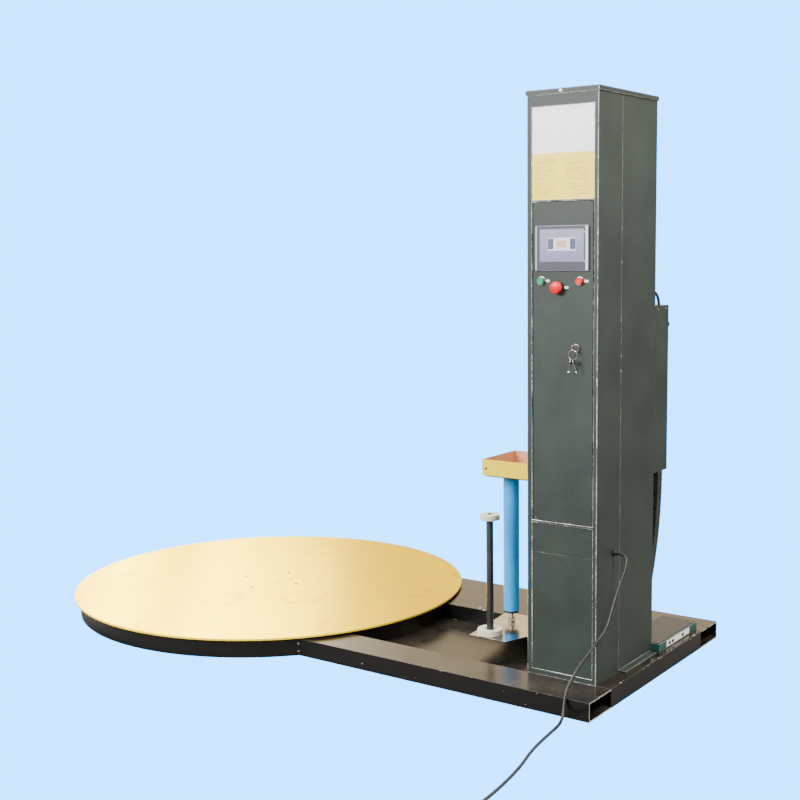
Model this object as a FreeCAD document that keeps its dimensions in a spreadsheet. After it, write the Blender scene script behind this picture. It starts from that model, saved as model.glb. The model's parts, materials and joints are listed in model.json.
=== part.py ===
import FreeCAD, Part
import math
import os
import re
import Sketcher
from FreeCAD import Placement, Rotation, Vector

# Turntable pallet wrapper.  Origin: the turntable's axis at floor level.  +X runs along the
# machine towards the mast, +Y away from the operator's side, +Z up.  Millimetres.
doc = FreeCAD.newDocument("pallet_wrapper")
sheet = doc.addObject("Spreadsheet::Sheet", "dims")

SIZES = {
    # base frame
    "base_height": 65, "base_half_width": 526, "base_tail": 56, "base_sheet": 5,
    "flange_width": 155, "pan_thickness": 4, "deck_front": 160, "mast_deck_thickness": 8,
    # turntable
    "skirt_radius": 801, "skirt_wall": 5, "skirt_rise": 5, "disc_overhang": 24, "disc_thickness": 8,
    "disc_gap": 2, "arm_width": 120, "arm_thickness": 8, "hub_radius": 60, "spindle_radius": 30,
    "hub_flange_radius": 170, "hub_flange_thickness": 8, "screw_circle": 133, "screw_radius": 6,
    "screw_angle": 5, "screw_length": 14,
    "wheel_radius": 24, "wheel_width": 20, "wheel_inset": 71, "wheel_axle_radius": 6,
    "cheek_thickness": 5,
    # turntable drive
    "ring_radius": 300, "ring_bore": 120, "ring_thickness": 4, "pinion_radius": 40,
    "pinion_distance": 425, "motor_radius": 22, "motor_clearance": 80, "gearbox_size": 90,
    "chain_thickness": 10, "drive_shaft_radius": 10,
    # mast
    "mast_left": 1496, "mast_width": 256, "mast_front": -374, "cabinet_depth": 170,
    "column_depth": 264, "mast_top": 1982, "mast_sheet": 3, "cap_thickness": 16, "cap_overhang": 4,
    "stile_left": 18, "stile_right": 14, "panel_lip": 4, "panel_thickness": 2, "panel_seam": 2,
    "window_bottom": 84, "lower_panel_top": 488, "strip_top": 588, "door_bottom": 596,
    "door_top": 1644, "label_bottom": 1650, "label_middle": 1797, "label_top": 1944,
    "door_gap": 4, "door_recess": 2, "door_thickness": 6, "door_pin_radius": 2,
    "door_pin_length": 12, "hinge_inset": 5, "hinge_half_width": 6, "foot_width": 28,
    "foot_thickness": 6, "foot_setback": 20, "electric_plate_bottom": 650, "electric_plate_top": 1380,
    "electric_plate_inset": 16, "electric_plate_thickness": 4,
    # operator panel
    "screen_inset": 33, "screen_width": 192, "screen_unit_bottom": 1422, "screen_height": 145,
    "screen_unit_proud": 6, "screen_unit_depth": 32, "screen_border": 17, "screen_chin": 15,
    "screen_brow": 5, "screen_recess": 2, "screen_glass_setback": 0.5, "button_stem_behind": 20,
    "button_row": 1390, "start_inset": 53, "stop_inset": 193, "emergency_inset": 114,
    "emergency_row": 1369, "button_radius": 12, "button_proud": 9, "button_stem": 8,
    "button_stroke": 4, "emergency_radius": 20, "emergency_proud": 24, "collar_radius": 14.5,
    "collar_thickness": 3, "lock_inset": 180, "lock_row": 1176, "lock_radius": 10,
    "lock_flange": 4, "lock_behind": 10, "tongue_width": 18, "tongue_thickness": 3,
    "tongue_setback": 5, "key_reach": 26, "key_blade": 2.4, "key_half_height": 10,
    "key_ring_radius": 16, "key_ring_wire": 1, "key_eye_radius": 2.6, "key_eye_drop": 4,
    "key_eye_setback": 6, "key_length": 42, "key_spread": 14,
    # lift
    "rail_size": 20, "rail_offset": 34, "sprocket_radius": 40, "sprocket_width": 12,
    "lift_axis_inset": 104, "lift_bottom": 170, "lift_head": 102, "lift_travel": 1300,
    "top_axle_radius": 8, "slot_width": 14, "slot_spacing": 120, "slot_margin": 5,
    "lift_gearbox_size": 100, "lift_motor_radius": 50, "lift_motor_length": 180,
    "lift_motor_setback": 52,
    # film carriage
    "plate_clearance": 7, "plate_thickness": 4, "plate_reach": 376, "plate_front": -155,
    "plate_back": 172, "plate_tip_reach": 218, "plate_neck_reach": 187, "plate_neck_y": -57,
    "plate_splay": 35, "frame_reach": 32, "frame_plate": 6, "frame_back": 130,
    "tray_reach": 383, "tray_front": -50, "tray_depth": 240, "tray_bottom": 657, "tray_height": 60,
    "tray_sheet": 2, "roller_reach": 331, "roller_y": 75, "roller_radius": 30, "roller_lift": 38,
    "roller_shaft_radius": 8, "roller_nut_radius": 15, "mandrel_reach": 316, "mandrel_y": -105,
    "mandrel_radius": 13, "mandrel_disc_radius": 47, "mandrel_disc_height": 22,
    "mandrel_cap_radius": 37, "mandrel_cap_height": 20, "mandrel_cap_bottom": 506,
    "mandrel_cap_socket": 10, "bar_thickness": 8, "bar_height": 50, "lower_bar": 150,
    "upper_bar": 550, "shoe_height": 40, "shoe_depth": 18, "trolley_inset": 16,
    "trolley_thickness": 8, "trolley_gap": 6, "upright_margin": 10, "trim_height": 40,
    "clamp_bottom": 350, "clamp_top": 410, "clamp_margin": 6,
    # energy chain, its box and its cable
    "box_width": 130, "box_depth": 110, "box_bottom": 707, "box_height": 584, "knob_radius": 9,
    "knob_length": 18, "knob_inset": 14, "knob_drop": 68, "link_pitch": 45, "link_gap": 0.5,
    "link_thickness": 30, "link_width": 38, "link_bracket": 12, "chain_lean_radius": 2400,
    "chain_loop_radius": 82, "chain_lean_angle": 10, "chain_turn_angle": 188, "chain_rise": 230,
    "cable_radius": 5, "cable_bend": 49, "cable_inset": 10,
    # terminal box at the foot
    "foot_box_inset": 112, "foot_box_outset": 31, "foot_box_length": 330, "foot_box_height": 30,
    # supply cord
    "gland_y": -253, "gland_row": 489, "gland_radius": 11, "gland_length": 12, "cord_radius": 5,
    "coil_x": 1770, "coil_run": 834, "coil_inner": 36, "coil_outer": 66, "coil_height": 20,
    "plug_side": 52, "plug_setback": 55, "grip_length": 28, "grip_width": 30, "grip_height": 22,
    "head_length": 28, "head_width": 38, "head_height": 24, "pin_length": 18, "pin_pitch": 10,
    "pin_bottom": 9, "pin_top": 15,
    # fits
    "running_gap": 0.05, "seat_gap": 0.3,
}

# Sizes and places that follow from the ones above, kept as formulas in the same sheet.
FORMULAS = {
    "disc_radius": "skirt_radius + disc_overhang",
    "wheel_circle": "skirt_radius - wheel_inset",
    "motor_length": "skirt_radius - wheel_inset - pinion_distance - gearbox_size / 2 - motor_clearance",
    "skirt_height": "base_height + skirt_rise",
    "disc_top": "base_height + skirt_rise + disc_gap + disc_thickness",
    "mast_right": "mast_left + mast_width",
    "mast_seam": "mast_front + cabinet_depth",
    "mast_back": "mast_front + cabinet_depth + column_depth",
    "base_end": "mast_left + mast_width + base_tail",
    "screen_unit_left": "mast_left + screen_inset",
    "screen_unit_right": "mast_left + screen_inset + screen_width",
    "screen_unit_top": "screen_unit_bottom + screen_height",
    "start_button_x": "mast_left + start_inset",
    "stop_button_x": "mast_left + stop_inset",
    "emergency_x": "mast_left + emergency_inset",
    "lock_x": "mast_left + lock_inset",
    "lift_axis_x": "mast_left + lift_axis_inset",
    "lift_top": "mast_top - lift_head",
    "plate_top": "base_height + plate_clearance",
    "plate_left": "mast_left - plate_reach",
    "plate_tip": "mast_left - plate_tip_reach",
    "plate_neck_x": "mast_left - plate_neck_reach",
    "frame_x": "mast_left - frame_reach",
    "tray_left": "mast_left - tray_reach",
    "roller_x": "mast_left - roller_reach",
    "roller_bottom": "base_height + plate_clearance + roller_lift",
    "mandrel_x": "mast_left - mandrel_reach",
    "cable_x": "mast_left + mast_width - cable_inset",
    "coil_y": "-base_half_width - coil_run",
    "foot_box_left": "mast_left + mast_width - foot_box_inset",
    "foot_box_right": "mast_left + mast_width + foot_box_outset",
}

for row, (alias, value) in enumerate(SIZES.items(), start=1):
    sheet.set("A%d" % row, alias.replace("_", " "))
    sheet.set("B%d" % row, str(value))
    sheet.setAlias("B%d" % row, alias)
for row, (alias, formula) in enumerate(FORMULAS.items(), start=len(SIZES) + 1):
    sheet.set("A%d" % row, alias.replace("_", " "))
    sheet.set("B%d" % row, "=" + formula)
    sheet.setAlias("B%d" % row, alias)
doc.recompute()

ALIASES = set(SIZES) | set(FORMULAS)
nodes = {}


def bound(text):
    """An expression over the sheet, written with bare aliases."""
    return re.sub(r"[a-z][a-z_]*", lambda word: "dims." + word[0] if word[0] in ALIASES else word[0], text)


def value(alias):
    """The present value of a cell, for shapes that are set directly."""
    return float(sheet.get(alias))


def node(label, obj):
    obj.Label = label
    nodes[label] = obj
    return obj


def place(obj, corner):
    for axis, text in zip("xyz", corner):
        obj.setExpression("Placement.Base." + axis, bound(text))
    return obj


def block(name, low, high):
    """A box between two corners given as expressions."""
    box = doc.addObject("Part::Box", name)
    for prop, a, b in zip(("Length", "Width", "Height"), low, high):
        box.setExpression(prop, bound("(%s) - (%s)" % (b, a)))
    return place(box, low)


AXES = {
    "x": Rotation(Vector(0, 1, 0), 90),
    "y": Rotation(Vector(1, 0, 0), -90),
    "z": Rotation(),
}


def rod(name, start, radius, length, axis="z"):
    """A cylinder from its start centre along +X, +Y or +Z."""
    cylinder = doc.addObject("Part::Cylinder", name)
    cylinder.Placement = Placement(Vector(), AXES[axis])
    cylinder.setExpression("Radius", bound(radius))
    cylinder.setExpression("Height", bound(length))
    return place(cylinder, start)


def join(name, *pieces):
    fuse = doc.addObject("Part::MultiFuse", name)
    fuse.Shapes = list(pieces)
    return fuse


def cut(name, base, *tools):
    result = doc.addObject("Part::Cut", name)
    result.Base = base
    result.Tool = tools[0] if len(tools) == 1 else join(name + "_tools", *tools)
    return result


measure = doc.addObject("Part::Line", "measure")


def number(text):
    """The present value of an expression over the sheet."""
    measure.setExpression("X2", bound(text))
    measure.recompute()
    return measure.X2.Value


def plane_of(body, role):
    return next(item for item in body.Origin.OriginFeatures if item.Role == role)


def sketch_in(body, name, role="XY_Plane"):
    sketch = body.newObject("Sketcher::SketchObject", name)
    sketch.AttachmentSupport = [(plane_of(body, role), "")]
    sketch.MapMode = "FlatFace"
    return sketch


def pin_coordinate(sketch, kind, line, text):
    """Binds one coordinate of a line's start point to an expression, or to the axis when it is 0."""
    if text == "0":
        axis = -2 if kind == "DistanceX" else -1
        sketch.addConstraint(Sketcher.Constraint("PointOnObject", line, 1, axis))
        return
    point = sketch.Geometry[line].StartPoint
    start = point.x if kind == "DistanceX" else point.y
    index = sketch.addConstraint(Sketcher.Constraint(kind, -1, 1, line, 1, start))
    sketch.setExpression("Constraints[%d]" % index, bound(text))


def polygon(sketch, points):
    """A closed outline whose corners are pairs of expressions."""
    corners = [tuple(number(text) for text in point) for point in points]
    count = len(points)
    for i, (x, y) in enumerate(corners):
        following = corners[(i + 1) % count]
        sketch.addGeometry(Part.LineSegment(Vector(x, y, 0), Vector(*following, 0)))
    for i in range(count):
        sketch.addConstraint(Sketcher.Constraint("Coincident", i, 2, (i + 1) % count, 1))
    for i, (x, y) in enumerate(points):
        pin_coordinate(sketch, "DistanceX", i, x)
        pin_coordinate(sketch, "DistanceY", i, y)


def circle(sketch, centre, radius):
    x, y = (number(text) for text in centre)
    ring = sketch.addGeometry(Part.Circle(Vector(x, y, 0), Vector(0, 0, 1), number(radius)))
    if centre == ("0", "0"):
        sketch.addConstraint(Sketcher.Constraint("Coincident", ring, 3, -1, 1))
    else:
        for kind, start, text in (("DistanceX", x, centre[0]), ("DistanceY", y, centre[1])):
            index = sketch.addConstraint(Sketcher.Constraint(kind, -1, 1, ring, 3, start))
            sketch.setExpression("Constraints[%d]" % index, bound(text))
    index = sketch.addConstraint(Sketcher.Constraint("Radius", ring, number(radius)))
    sketch.setExpression("Constraints[%d]" % index, bound(radius))


def padded(label, points, base, length):
    """A body: one outline on the XY plane, padded upward from a base corner."""
    body = doc.addObject("PartDesign::Body", label)
    sketch = sketch_in(body, label + "_outline")
    polygon(sketch, points)
    pad = body.newObject("PartDesign::Pad", label + "_pad")
    pad.Profile = sketch
    pad.setExpression("Length", bound(length))
    place(body, base)
    return node(label, body)


def turned(label, profile, base):
    """A body: a radius and height profile turned about its own Z axis."""
    body = doc.addObject("PartDesign::Body", label)
    sketch = sketch_in(body, label + "_profile", "XZ_Plane")
    polygon(sketch, profile)
    turn = body.newObject("PartDesign::Revolution", label + "_turn")
    turn.Profile = sketch
    turn.ReferenceAxis = (sketch, ["V_Axis"])
    turn.Angle = 360
    place(body, base)
    return node(label, body)


# ---------------------------------------------------------------- base frame
BELOW_DECK = "base_height - base_sheet"
FLANGE_EDGE = "base_half_width - flange_width"


def skirt_clearance(name):
    return rod(name, ("0", "0", "-1"), "skirt_radius + seat_gap", "base_height + 2")


def base_channel(label, outer, web, inner):
    """A C section along X with its web outward, cut round the turntable's skirt."""
    low_y, high_y = sorted((outer, inner), key=number)
    solid = block(label + "_outer", ("0", low_y, "0"), ("base_end", high_y, "base_height"))
    hollow_low, hollow_high = sorted((web, inner), key=number)
    if hollow_low == inner:
        hollow_low += " - base_sheet"
    else:
        hollow_high += " + base_sheet"
    hollow = block(label + "_hollow", ("-1", hollow_low, "base_sheet"), ("base_end + 1", hollow_high, BELOW_DECK))
    inside = block(label + "_inside", ("-1", low_y + " - 1", "-1"), ("1", high_y + " + 1", "base_height + 1"))
    return node(label, cut(label, solid, hollow, inside, skirt_clearance(label + "_skirt")))


base_channel("base_front_channel", "-base_half_width", "-base_half_width + base_sheet",
             "-(%s)" % FLANGE_EDGE)
base_channel("base_rear_channel", "base_half_width", "base_half_width - base_sheet", FLANGE_EDGE)

END_INNER = "base_end - base_sheet"
node("base_end_crossmember", block(
    "base_end_crossmember", (END_INNER, "-(%s)" % FLANGE_EDGE, "0"),
    ("base_end", FLANGE_EDGE, "base_height")))

pan = block("floor_pan_sheet", ("0", "-(%s)" % FLANGE_EDGE, "0"),
            (END_INNER, "deck_front + base_sheet", "pan_thickness"))
node("base_floor_pan", cut("base_floor_pan", pan, skirt_clearance("floor_pan_skirt")))

deck = block("rear_deck_block", ("0", "deck_front", "pan_thickness"), (END_INNER, FLANGE_EDGE, "base_height"))
deck_under = block("rear_deck_under", ("-1", "deck_front + base_sheet", "pan_thickness - 1"),
                   ("base_end + 1", FLANGE_EDGE + " + 1", BELOW_DECK))
node("base_rear_deck", cut("base_rear_deck", deck, deck_under, skirt_clearance("rear_deck_skirt")))

mast_deck = block("mast_deck_block", ("mast_left", "-(%s)" % FLANGE_EDGE, "pan_thickness"),
                  (END_INNER, "deck_front", "base_height"))
mast_deck_under = block("mast_deck_under", ("mast_left + base_sheet", "-base_half_width", "0"),
                        ("base_end", "deck_front + 1", "base_height - mast_deck_thickness"))
node("base_mast_deck", cut("base_mast_deck", mast_deck, mast_deck_under))

# ---------------------------------------------------------------- turntable
turned("turntable_skirt",
       [("skirt_radius - skirt_wall", "0"), ("skirt_radius", "0"),
        ("skirt_radius", "skirt_height"), ("skirt_radius - skirt_wall", "skirt_height")], ("0", "0", "0"))

ARM_COUNT = 6
ARM_REACH = "sqrt((skirt_radius - skirt_wall - seat_gap) ^ 2 - arm_width ^ 2 / 4)"
HUB_TOP = "disc_top - disc_thickness - hub_flange_thickness - seat_gap"


def arm_angle(index):
    return 360 / ARM_COUNT * (index + 0.5)


def polar(obj, angle, x="0", y="0", z="0"):
    """Turns an object about the turntable's axis, with its own corner given before the turn."""
    turn = "%g deg" % angle
    obj.Placement = Placement(Vector(), Rotation(Vector(0, 0, 1), angle).multiply(obj.Placement.Rotation))
    place(obj, ("(%s) * cos(%s) - (%s) * sin(%s)" % (x, turn, y, turn),
                "(%s) * sin(%s) + (%s) * cos(%s)" % (x, turn, y, turn), z))
    return obj


def spider():
    beams = []
    for index in range(ARM_COUNT // 2):
        beam = block("spider_beam_%d" % (index + 1), ("-(%s)" % ARM_REACH, "-arm_width / 2", "0"),
                     (ARM_REACH, "arm_width / 2", "arm_thickness"))
        beams.append(polar(beam, arm_angle(index), "-(%s)" % ARM_REACH, "-arm_width / 2", "0"))
    boss = rod("spider_boss", ("0", "0", "0"), "hub_radius", HUB_TOP)
    bore = rod("spider_bore", ("0", "0", "arm_thickness"), "spindle_radius + running_gap", "base_height")
    return cut("turntable_spider", join("spider_solid", *beams, boss), bore)


node("turntable_spider", spider())

DISC_BOTTOM = "disc_top - disc_thickness"


def disc():
    """The round plate: one pad and a bolt hole repeated round the hub's circle."""
    body = doc.addObject("PartDesign::Body", "turntable_disc")
    outline = sketch_in(body, "disc_outline")
    circle(outline, ("0", "0"), "disc_radius")
    pad = body.newObject("PartDesign::Pad", "disc_pad")
    pad.Profile = outline
    pad.setExpression("Length", bound("disc_thickness"))
    hole = sketch_in(body, "disc_hole")
    circle(hole, ("screw_circle * cos(screw_angle * 1 deg)", "screw_circle * sin(screw_angle * 1 deg)"),
           "screw_radius")
    pocket = body.newObject("PartDesign::Pocket", "disc_pocket")
    pocket.Profile = hole
    pocket.Type = "ThroughAll"
    pocket.Reversed = True
    pattern = body.newObject("PartDesign::PolarPattern", "disc_holes")
    pattern.Originals = [pocket]
    pattern.Axis = (outline, ["N_Axis"])
    pattern.Angle = 360
    pattern.Occurrences = 4
    body.Tip = pattern
    place(body, ("0", "0", DISC_BOTTOM))
    return body


node("turntable_disc", disc())

FLANGE_BOTTOM = DISC_BOTTOM + " - hub_flange_thickness"


def screw_pattern(name, radius, length):
    """Four rods on the hub's bolt circle, up from the screws' lower ends."""
    rods = []
    for index in range(4):
        around = "(screw_angle + %d) * 1 deg" % (90 * index)
        rods.append(rod("%s_%d" % (name, index + 1),
                        ("screw_circle * cos(%s)" % around, "screw_circle * sin(%s)" % around,
                         "disc_top - screw_length"), radius, length))
    return rods


spindle = rod("hub_spindle", ("0", "0", "arm_thickness + seat_gap"), "spindle_radius",
              DISC_BOTTOM + " - arm_thickness - seat_gap")
hub_flange = rod("hub_flange", ("0", "0", FLANGE_BOTTOM), "hub_flange_radius", "hub_flange_thickness")
hub_solid = join("hub_solid", spindle, hub_flange)


disc_screws = doc.addObject("Part::Compound", "turntable_screws")
disc_screws.Links = screw_pattern("disc_screw", "screw_radius - running_gap", "screw_length - 1")
node("turntable_screws", disc_screws)

WHEEL_AXIS = DISC_BOTTOM + " - seat_gap - wheel_radius"


def support_wheel(index):
    """A support wheel whose axle points at the turntable's axis."""
    label = "support_wheel_%d" % (index + 1)
    wheel = rod(label + "_tread", ("0", "0", "0"), "wheel_radius", "wheel_width", "x")
    bore = rod(label + "_bore", ("0", "0", "0"), "wheel_axle_radius + running_gap", "wheel_width + 2", "x")
    polar(wheel, arm_angle(index), "wheel_circle - wheel_width / 2", "0", WHEEL_AXIS)
    polar(bore, arm_angle(index), "wheel_circle - wheel_width / 2 - 1", "0", WHEEL_AXIS)
    return node(label, cut(label, wheel, bore))


def wheel_bracket(index):
    """Two cheeks and the axle between them, standing on a spider arm."""
    label = "wheel_bracket_%d" % (index + 1)
    inside = "wheel_circle - wheel_width / 2 - seat_gap"
    outside = "wheel_circle + wheel_width / 2 + seat_gap"
    height = WHEEL_AXIS + " + 2 * wheel_axle_radius"
    near = block(label + "_near", (inside + " - cheek_thickness", "-wheel_radius", "arm_thickness"),
                 (inside, "wheel_radius", height))
    far = block(label + "_far", (outside, "-wheel_radius", "arm_thickness"),
                (outside + " + cheek_thickness", "wheel_radius", height))
    axle = rod(label + "_axle", ("0", "0", "0"), "wheel_axle_radius",
               "wheel_width + 2 * seat_gap + 2 * cheek_thickness", "x")
    polar(near, arm_angle(index), inside + " - cheek_thickness", "-wheel_radius", "arm_thickness")
    polar(far, arm_angle(index), outside, "-wheel_radius", "arm_thickness")
    polar(axle, arm_angle(index), inside + " - cheek_thickness", "0", WHEEL_AXIS)
    return join(label, near, far, axle)


for index in range(ARM_COUNT):
    support_wheel(index)
brackets = doc.addObject("Part::Compound", "wheel_brackets")
brackets.Links = [wheel_bracket(index) for index in range(ARM_COUNT)]
node("wheel_brackets", brackets)

# ---------------------------------------------------------------- turntable drive
RING_BOTTOM = FLANGE_BOTTOM + " - ring_thickness"


def toothed_disc(tip_radius, pitch, thickness, bore):
    """A sprocket plate: alternating tip and root corners, with a round bore."""
    teeth = int(round(2 * math.pi * tip_radius / pitch))
    root_radius = tip_radius - pitch / 3
    corners = []
    for index in range(teeth):
        for share, radius in ((0.0, root_radius), (0.3, root_radius), (0.5, tip_radius), (0.8, tip_radius)):
            angle = 2 * math.pi * (index + share) / teeth
            corners.append(Vector(radius * math.cos(angle), radius * math.sin(angle), 0))
    face = Part.Face(Part.makePolygon(corners + corners[:1]))
    plate = face.extrude(Vector(0, 0, thickness))
    return plate.cut(Part.makeCylinder(bore, thickness + 2, Vector(0, 0, -1)))


TOOTH_PITCH = 12.7
ring = doc.addObject("Part::Feature", "hub_sprocket")
ring.Shape = toothed_disc(value("ring_radius"), TOOTH_PITCH, value("ring_thickness"), value("ring_bore"))
place(ring, ("0", "0", RING_BOTTOM))
node("turntable_hub", cut("turntable_hub", join("hub_with_ring", hub_solid, ring),
                          *screw_pattern("flange_hole", "screw_radius", "disc_top")))

DRIVE_ANGLE = arm_angle(0)
pinion = doc.addObject("Part::Feature", "drive_pinion")
pinion.Shape = toothed_disc(value("pinion_radius"), TOOTH_PITCH, value("ring_thickness"),
                            value("drive_shaft_radius") + value("running_gap"))
polar(pinion, DRIVE_ANGLE, "pinion_distance", "0", RING_BOTTOM)
node("drive_pinion", pinion)


def loop_face(first, second, first_radius, second_radius):
    """The outline of a belt stretched round two circles, on the plane of the circles."""
    span = (second - first).Length
    lean = math.acos((first_radius - second_radius) / span)
    along = math.atan2(second.y - first.y, second.x - first.x)

    def at(centre, radius, angle):
        return centre + Vector(radius * math.cos(along + angle), radius * math.sin(along + angle), 0)

    edges = [
        Part.Arc(at(first, first_radius, lean), at(first, first_radius, math.pi),
                 at(first, first_radius, -lean)).toShape(),
        Part.LineSegment(at(first, first_radius, -lean), at(second, second_radius, -lean)).toShape(),
        Part.Arc(at(second, second_radius, -lean), at(second, second_radius, 0),
                 at(second, second_radius, lean)).toShape(),
        Part.LineSegment(at(second, second_radius, lean), at(first, first_radius, lean)).toShape(),
    ]
    return Part.Face(Part.Wire(edges))


def chain_band(first, second, first_radius, second_radius, width):
    inner_gap = value("seat_gap")
    outer_gap = inner_gap + value("chain_thickness")
    outer = loop_face(first, second, first_radius + outer_gap, second_radius + outer_gap)
    inner = loop_face(first, second, first_radius + inner_gap, second_radius + inner_gap)
    return outer.cut(inner).Faces[0].extrude(Vector(0, 0, width))


drive_chain = doc.addObject("Part::Feature", "drive_chain")
drive_chain.Shape = chain_band(Vector(), Vector(value("pinion_distance"), 0, 0), value("ring_radius"),
                               value("pinion_radius"), value("ring_thickness"))
polar(drive_chain, DRIVE_ANGLE, "0", "0", RING_BOTTOM)
node("drive_chain", drive_chain)


def turntable_gearmotor():
    half = "gearbox_size / 2"
    gearbox = block("gearbox_case", ("pinion_distance - " + half, "-" + half, "arm_thickness"),
                    ("pinion_distance + " + half, half, RING_BOTTOM + " - seat_gap"))
    polar(gearbox, DRIVE_ANGLE, "pinion_distance - " + half, "-" + half, "arm_thickness")
    motor = rod("motor_case", ("0", "0", "0"), "motor_radius", "motor_length", "x")
    polar(motor, DRIVE_ANGLE, "pinion_distance + " + half, "0", "arm_thickness + motor_radius")
    shaft = rod("motor_shaft", ("0", "0", "0"), "drive_shaft_radius", "ring_thickness + 2 * seat_gap")
    polar(shaft, DRIVE_ANGLE, "pinion_distance", "0", RING_BOTTOM + " - seat_gap")
    return join("turntable_gearmotor", gearbox, motor, shaft)


node("turntable_gearmotor", turntable_gearmotor())

# ---------------------------------------------------------------- mast
FRONT_FACE = "mast_front"
FRONT_BACK = "mast_front + mast_sheet"
WINDOW_LEFT = "mast_left + stile_left"
WINDOW_RIGHT = "mast_right - stile_right"


def window(name, bottom, top):
    return block(name, (WINDOW_LEFT, FRONT_FACE + " - 1", bottom), (WINDOW_RIGHT, FRONT_BACK + " + 1", top))


# The front frame is a separate sheet, welded all round to the folded cabinet behind it.
frame_sheet = block("frame_sheet", ("mast_left", FRONT_FACE, "base_height"), ("mast_right", FRONT_BACK, "mast_top"))
node("mast_front_frame", cut(
    "mast_front_frame", frame_sheet,
    window("lower_window", "window_bottom", "strip_top"),
    window("door_window", "door_bottom", "door_top"),
    window("label_window", "label_bottom", "label_top")))
cabinet_outer = block("cabinet_outer", ("mast_left", FRONT_BACK, "base_height"),
                      ("mast_right", "mast_seam", "mast_top"))
cabinet_inner = block("cabinet_inner", ("mast_left + mast_sheet", FRONT_BACK + " - 1", "base_height + mast_sheet"),
                      ("mast_right - mast_sheet", "mast_seam - mast_sheet", "mast_top - mast_sheet"))
node("mast_cabinet", cut("mast_cabinet", cabinet_outer, cabinet_inner))

COLUMN_MIDDLE = "(mast_seam + mast_back) / 2"


def arm_slot(index):
    centre = "%s + %s * slot_spacing / 2" % (COLUMN_MIDDLE, index)
    return block("arm_slot_%s" % ("front" if index < 0 else "rear"),
                 ("mast_left - 1", centre + " - slot_width / 2", "lower_bar - slot_margin"),
                 ("mast_left + mast_sheet + 1", centre + " + slot_width / 2",
                  "upper_bar + bar_height + lift_travel + slot_margin"))


column_outer = block("column_outer", ("mast_left", "mast_seam", "base_height"),
                     ("mast_right", "mast_back", "mast_top"))
column_inner = block("column_inner", ("mast_left + mast_sheet", "mast_seam + mast_sheet", "base_height + mast_sheet"),
                     ("mast_right - mast_sheet", "mast_back - mast_sheet", "mast_top - mast_sheet"))
top_axle = rod("lift_top_axle", ("lift_axis_x", "mast_seam + mast_sheet / 2", "lift_top"), "top_axle_radius",
               "mast_back - mast_seam - mast_sheet", "y")
column_sheet = cut("column_sheet", column_outer, column_inner, arm_slot(-1), arm_slot(1))
foot_strip = block("mast_foot_strip", ("mast_right", "mast_seam", "base_height"),
                   ("mast_right + foot_width", "mast_back - foot_setback", "base_height + foot_thickness"))
node("mast_column", join("mast_column", column_sheet, top_axle, foot_strip))

node("mast_cap", block(
    "mast_cap", ("mast_left - cap_overhang", "mast_front - cap_overhang", "mast_top"),
    ("mast_right + cap_overhang", "mast_back + cap_overhang", "mast_top + cap_thickness")))


def front_panel(name, bottom, top):
    """A flat sheet that lies behind the front frame with a lip on both sides."""
    return block(name, (WINDOW_LEFT + " - panel_lip", FRONT_BACK, bottom),
                 (WINDOW_RIGHT + " + panel_lip", FRONT_BACK + " + panel_thickness", top))


fixed_panels = doc.addObject("Part::Compound", "mast_panels")
fixed_panels.Links = [
    front_panel("lower_panel", "window_bottom - panel_lip", "lower_panel_top"),
    front_panel("middle_panel", "lower_panel_top + panel_seam", "strip_top"),
]
node("mast_panels", fixed_panels)
label_plates = doc.addObject("Part::Compound", "mast_label_plates")
label_plates.Links = [
    front_panel("instruction_plate", "label_bottom", "label_middle"),
    front_panel("name_plate", "label_middle", "label_top + panel_lip"),
]
node("mast_label_plates", label_plates)

DOOR_LEFT = WINDOW_LEFT + " + door_gap"
DOOR_RIGHT = WINDOW_RIGHT + " - door_gap"
DOOR_FACE = FRONT_FACE + " + door_recess"
DOOR_BACK = DOOR_FACE + " + door_thickness"
PIN_X = DOOR_LEFT + " + hinge_inset"
PIN_Y = DOOR_FACE + " + door_thickness / 2"


def panel_hole(name, x, z, radius):
    return rod(name, (x, DOOR_FACE + " - 1", z), radius, "door_thickness + 2", "y")


def door():
    sheet_block = block("door_sheet", (DOOR_LEFT, DOOR_FACE, "door_bottom + 2"),
                        (DOOR_RIGHT, DOOR_BACK, "door_top - 2"))
    screen_hole = block("door_screen_hole",
                        ("screen_unit_left + screen_border", DOOR_FACE + " - 1", "screen_unit_bottom + screen_border"),
                        ("screen_unit_right - screen_border", DOOR_BACK + " + 1", "screen_unit_top - screen_border"))
    holes = [
        panel_hole("door_start_hole", "start_button_x", "button_row", "button_stem + running_gap"),
        panel_hole("door_stop_hole", "stop_button_x", "button_row", "button_stem + running_gap"),
        panel_hole("door_emergency_hole", "emergency_x", "emergency_row", "button_stem + running_gap"),
        panel_hole("door_lock_hole", "lock_x", "lock_row", "lock_radius + running_gap"),
    ]
    bore_depth = "door_pin_length + 1 + seat_gap"
    pins = [
        rod("door_lower_bore", (PIN_X, PIN_Y, "door_bottom + 1"), "door_pin_radius + running_gap", bore_depth),
        rod("door_upper_bore", (PIN_X, PIN_Y, "door_top - 1 - (%s)" % bore_depth), "door_pin_radius + running_gap",
            bore_depth),
    ]
    return cut("mast_door", sheet_block, screen_hole, *holes, *pins)


node("mast_door", door())


def hinge(name, low, high, pin_base):
    leaf = block(name + "_leaf", (PIN_X + " - hinge_half_width", FRONT_BACK, low),
                 (PIN_X + " + hinge_half_width", DOOR_BACK + " + 2", high))
    pin = rod(name + "_pin", (PIN_X, PIN_Y, pin_base), "door_pin_radius", "door_pin_length")
    return join(name, leaf, pin)


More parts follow.
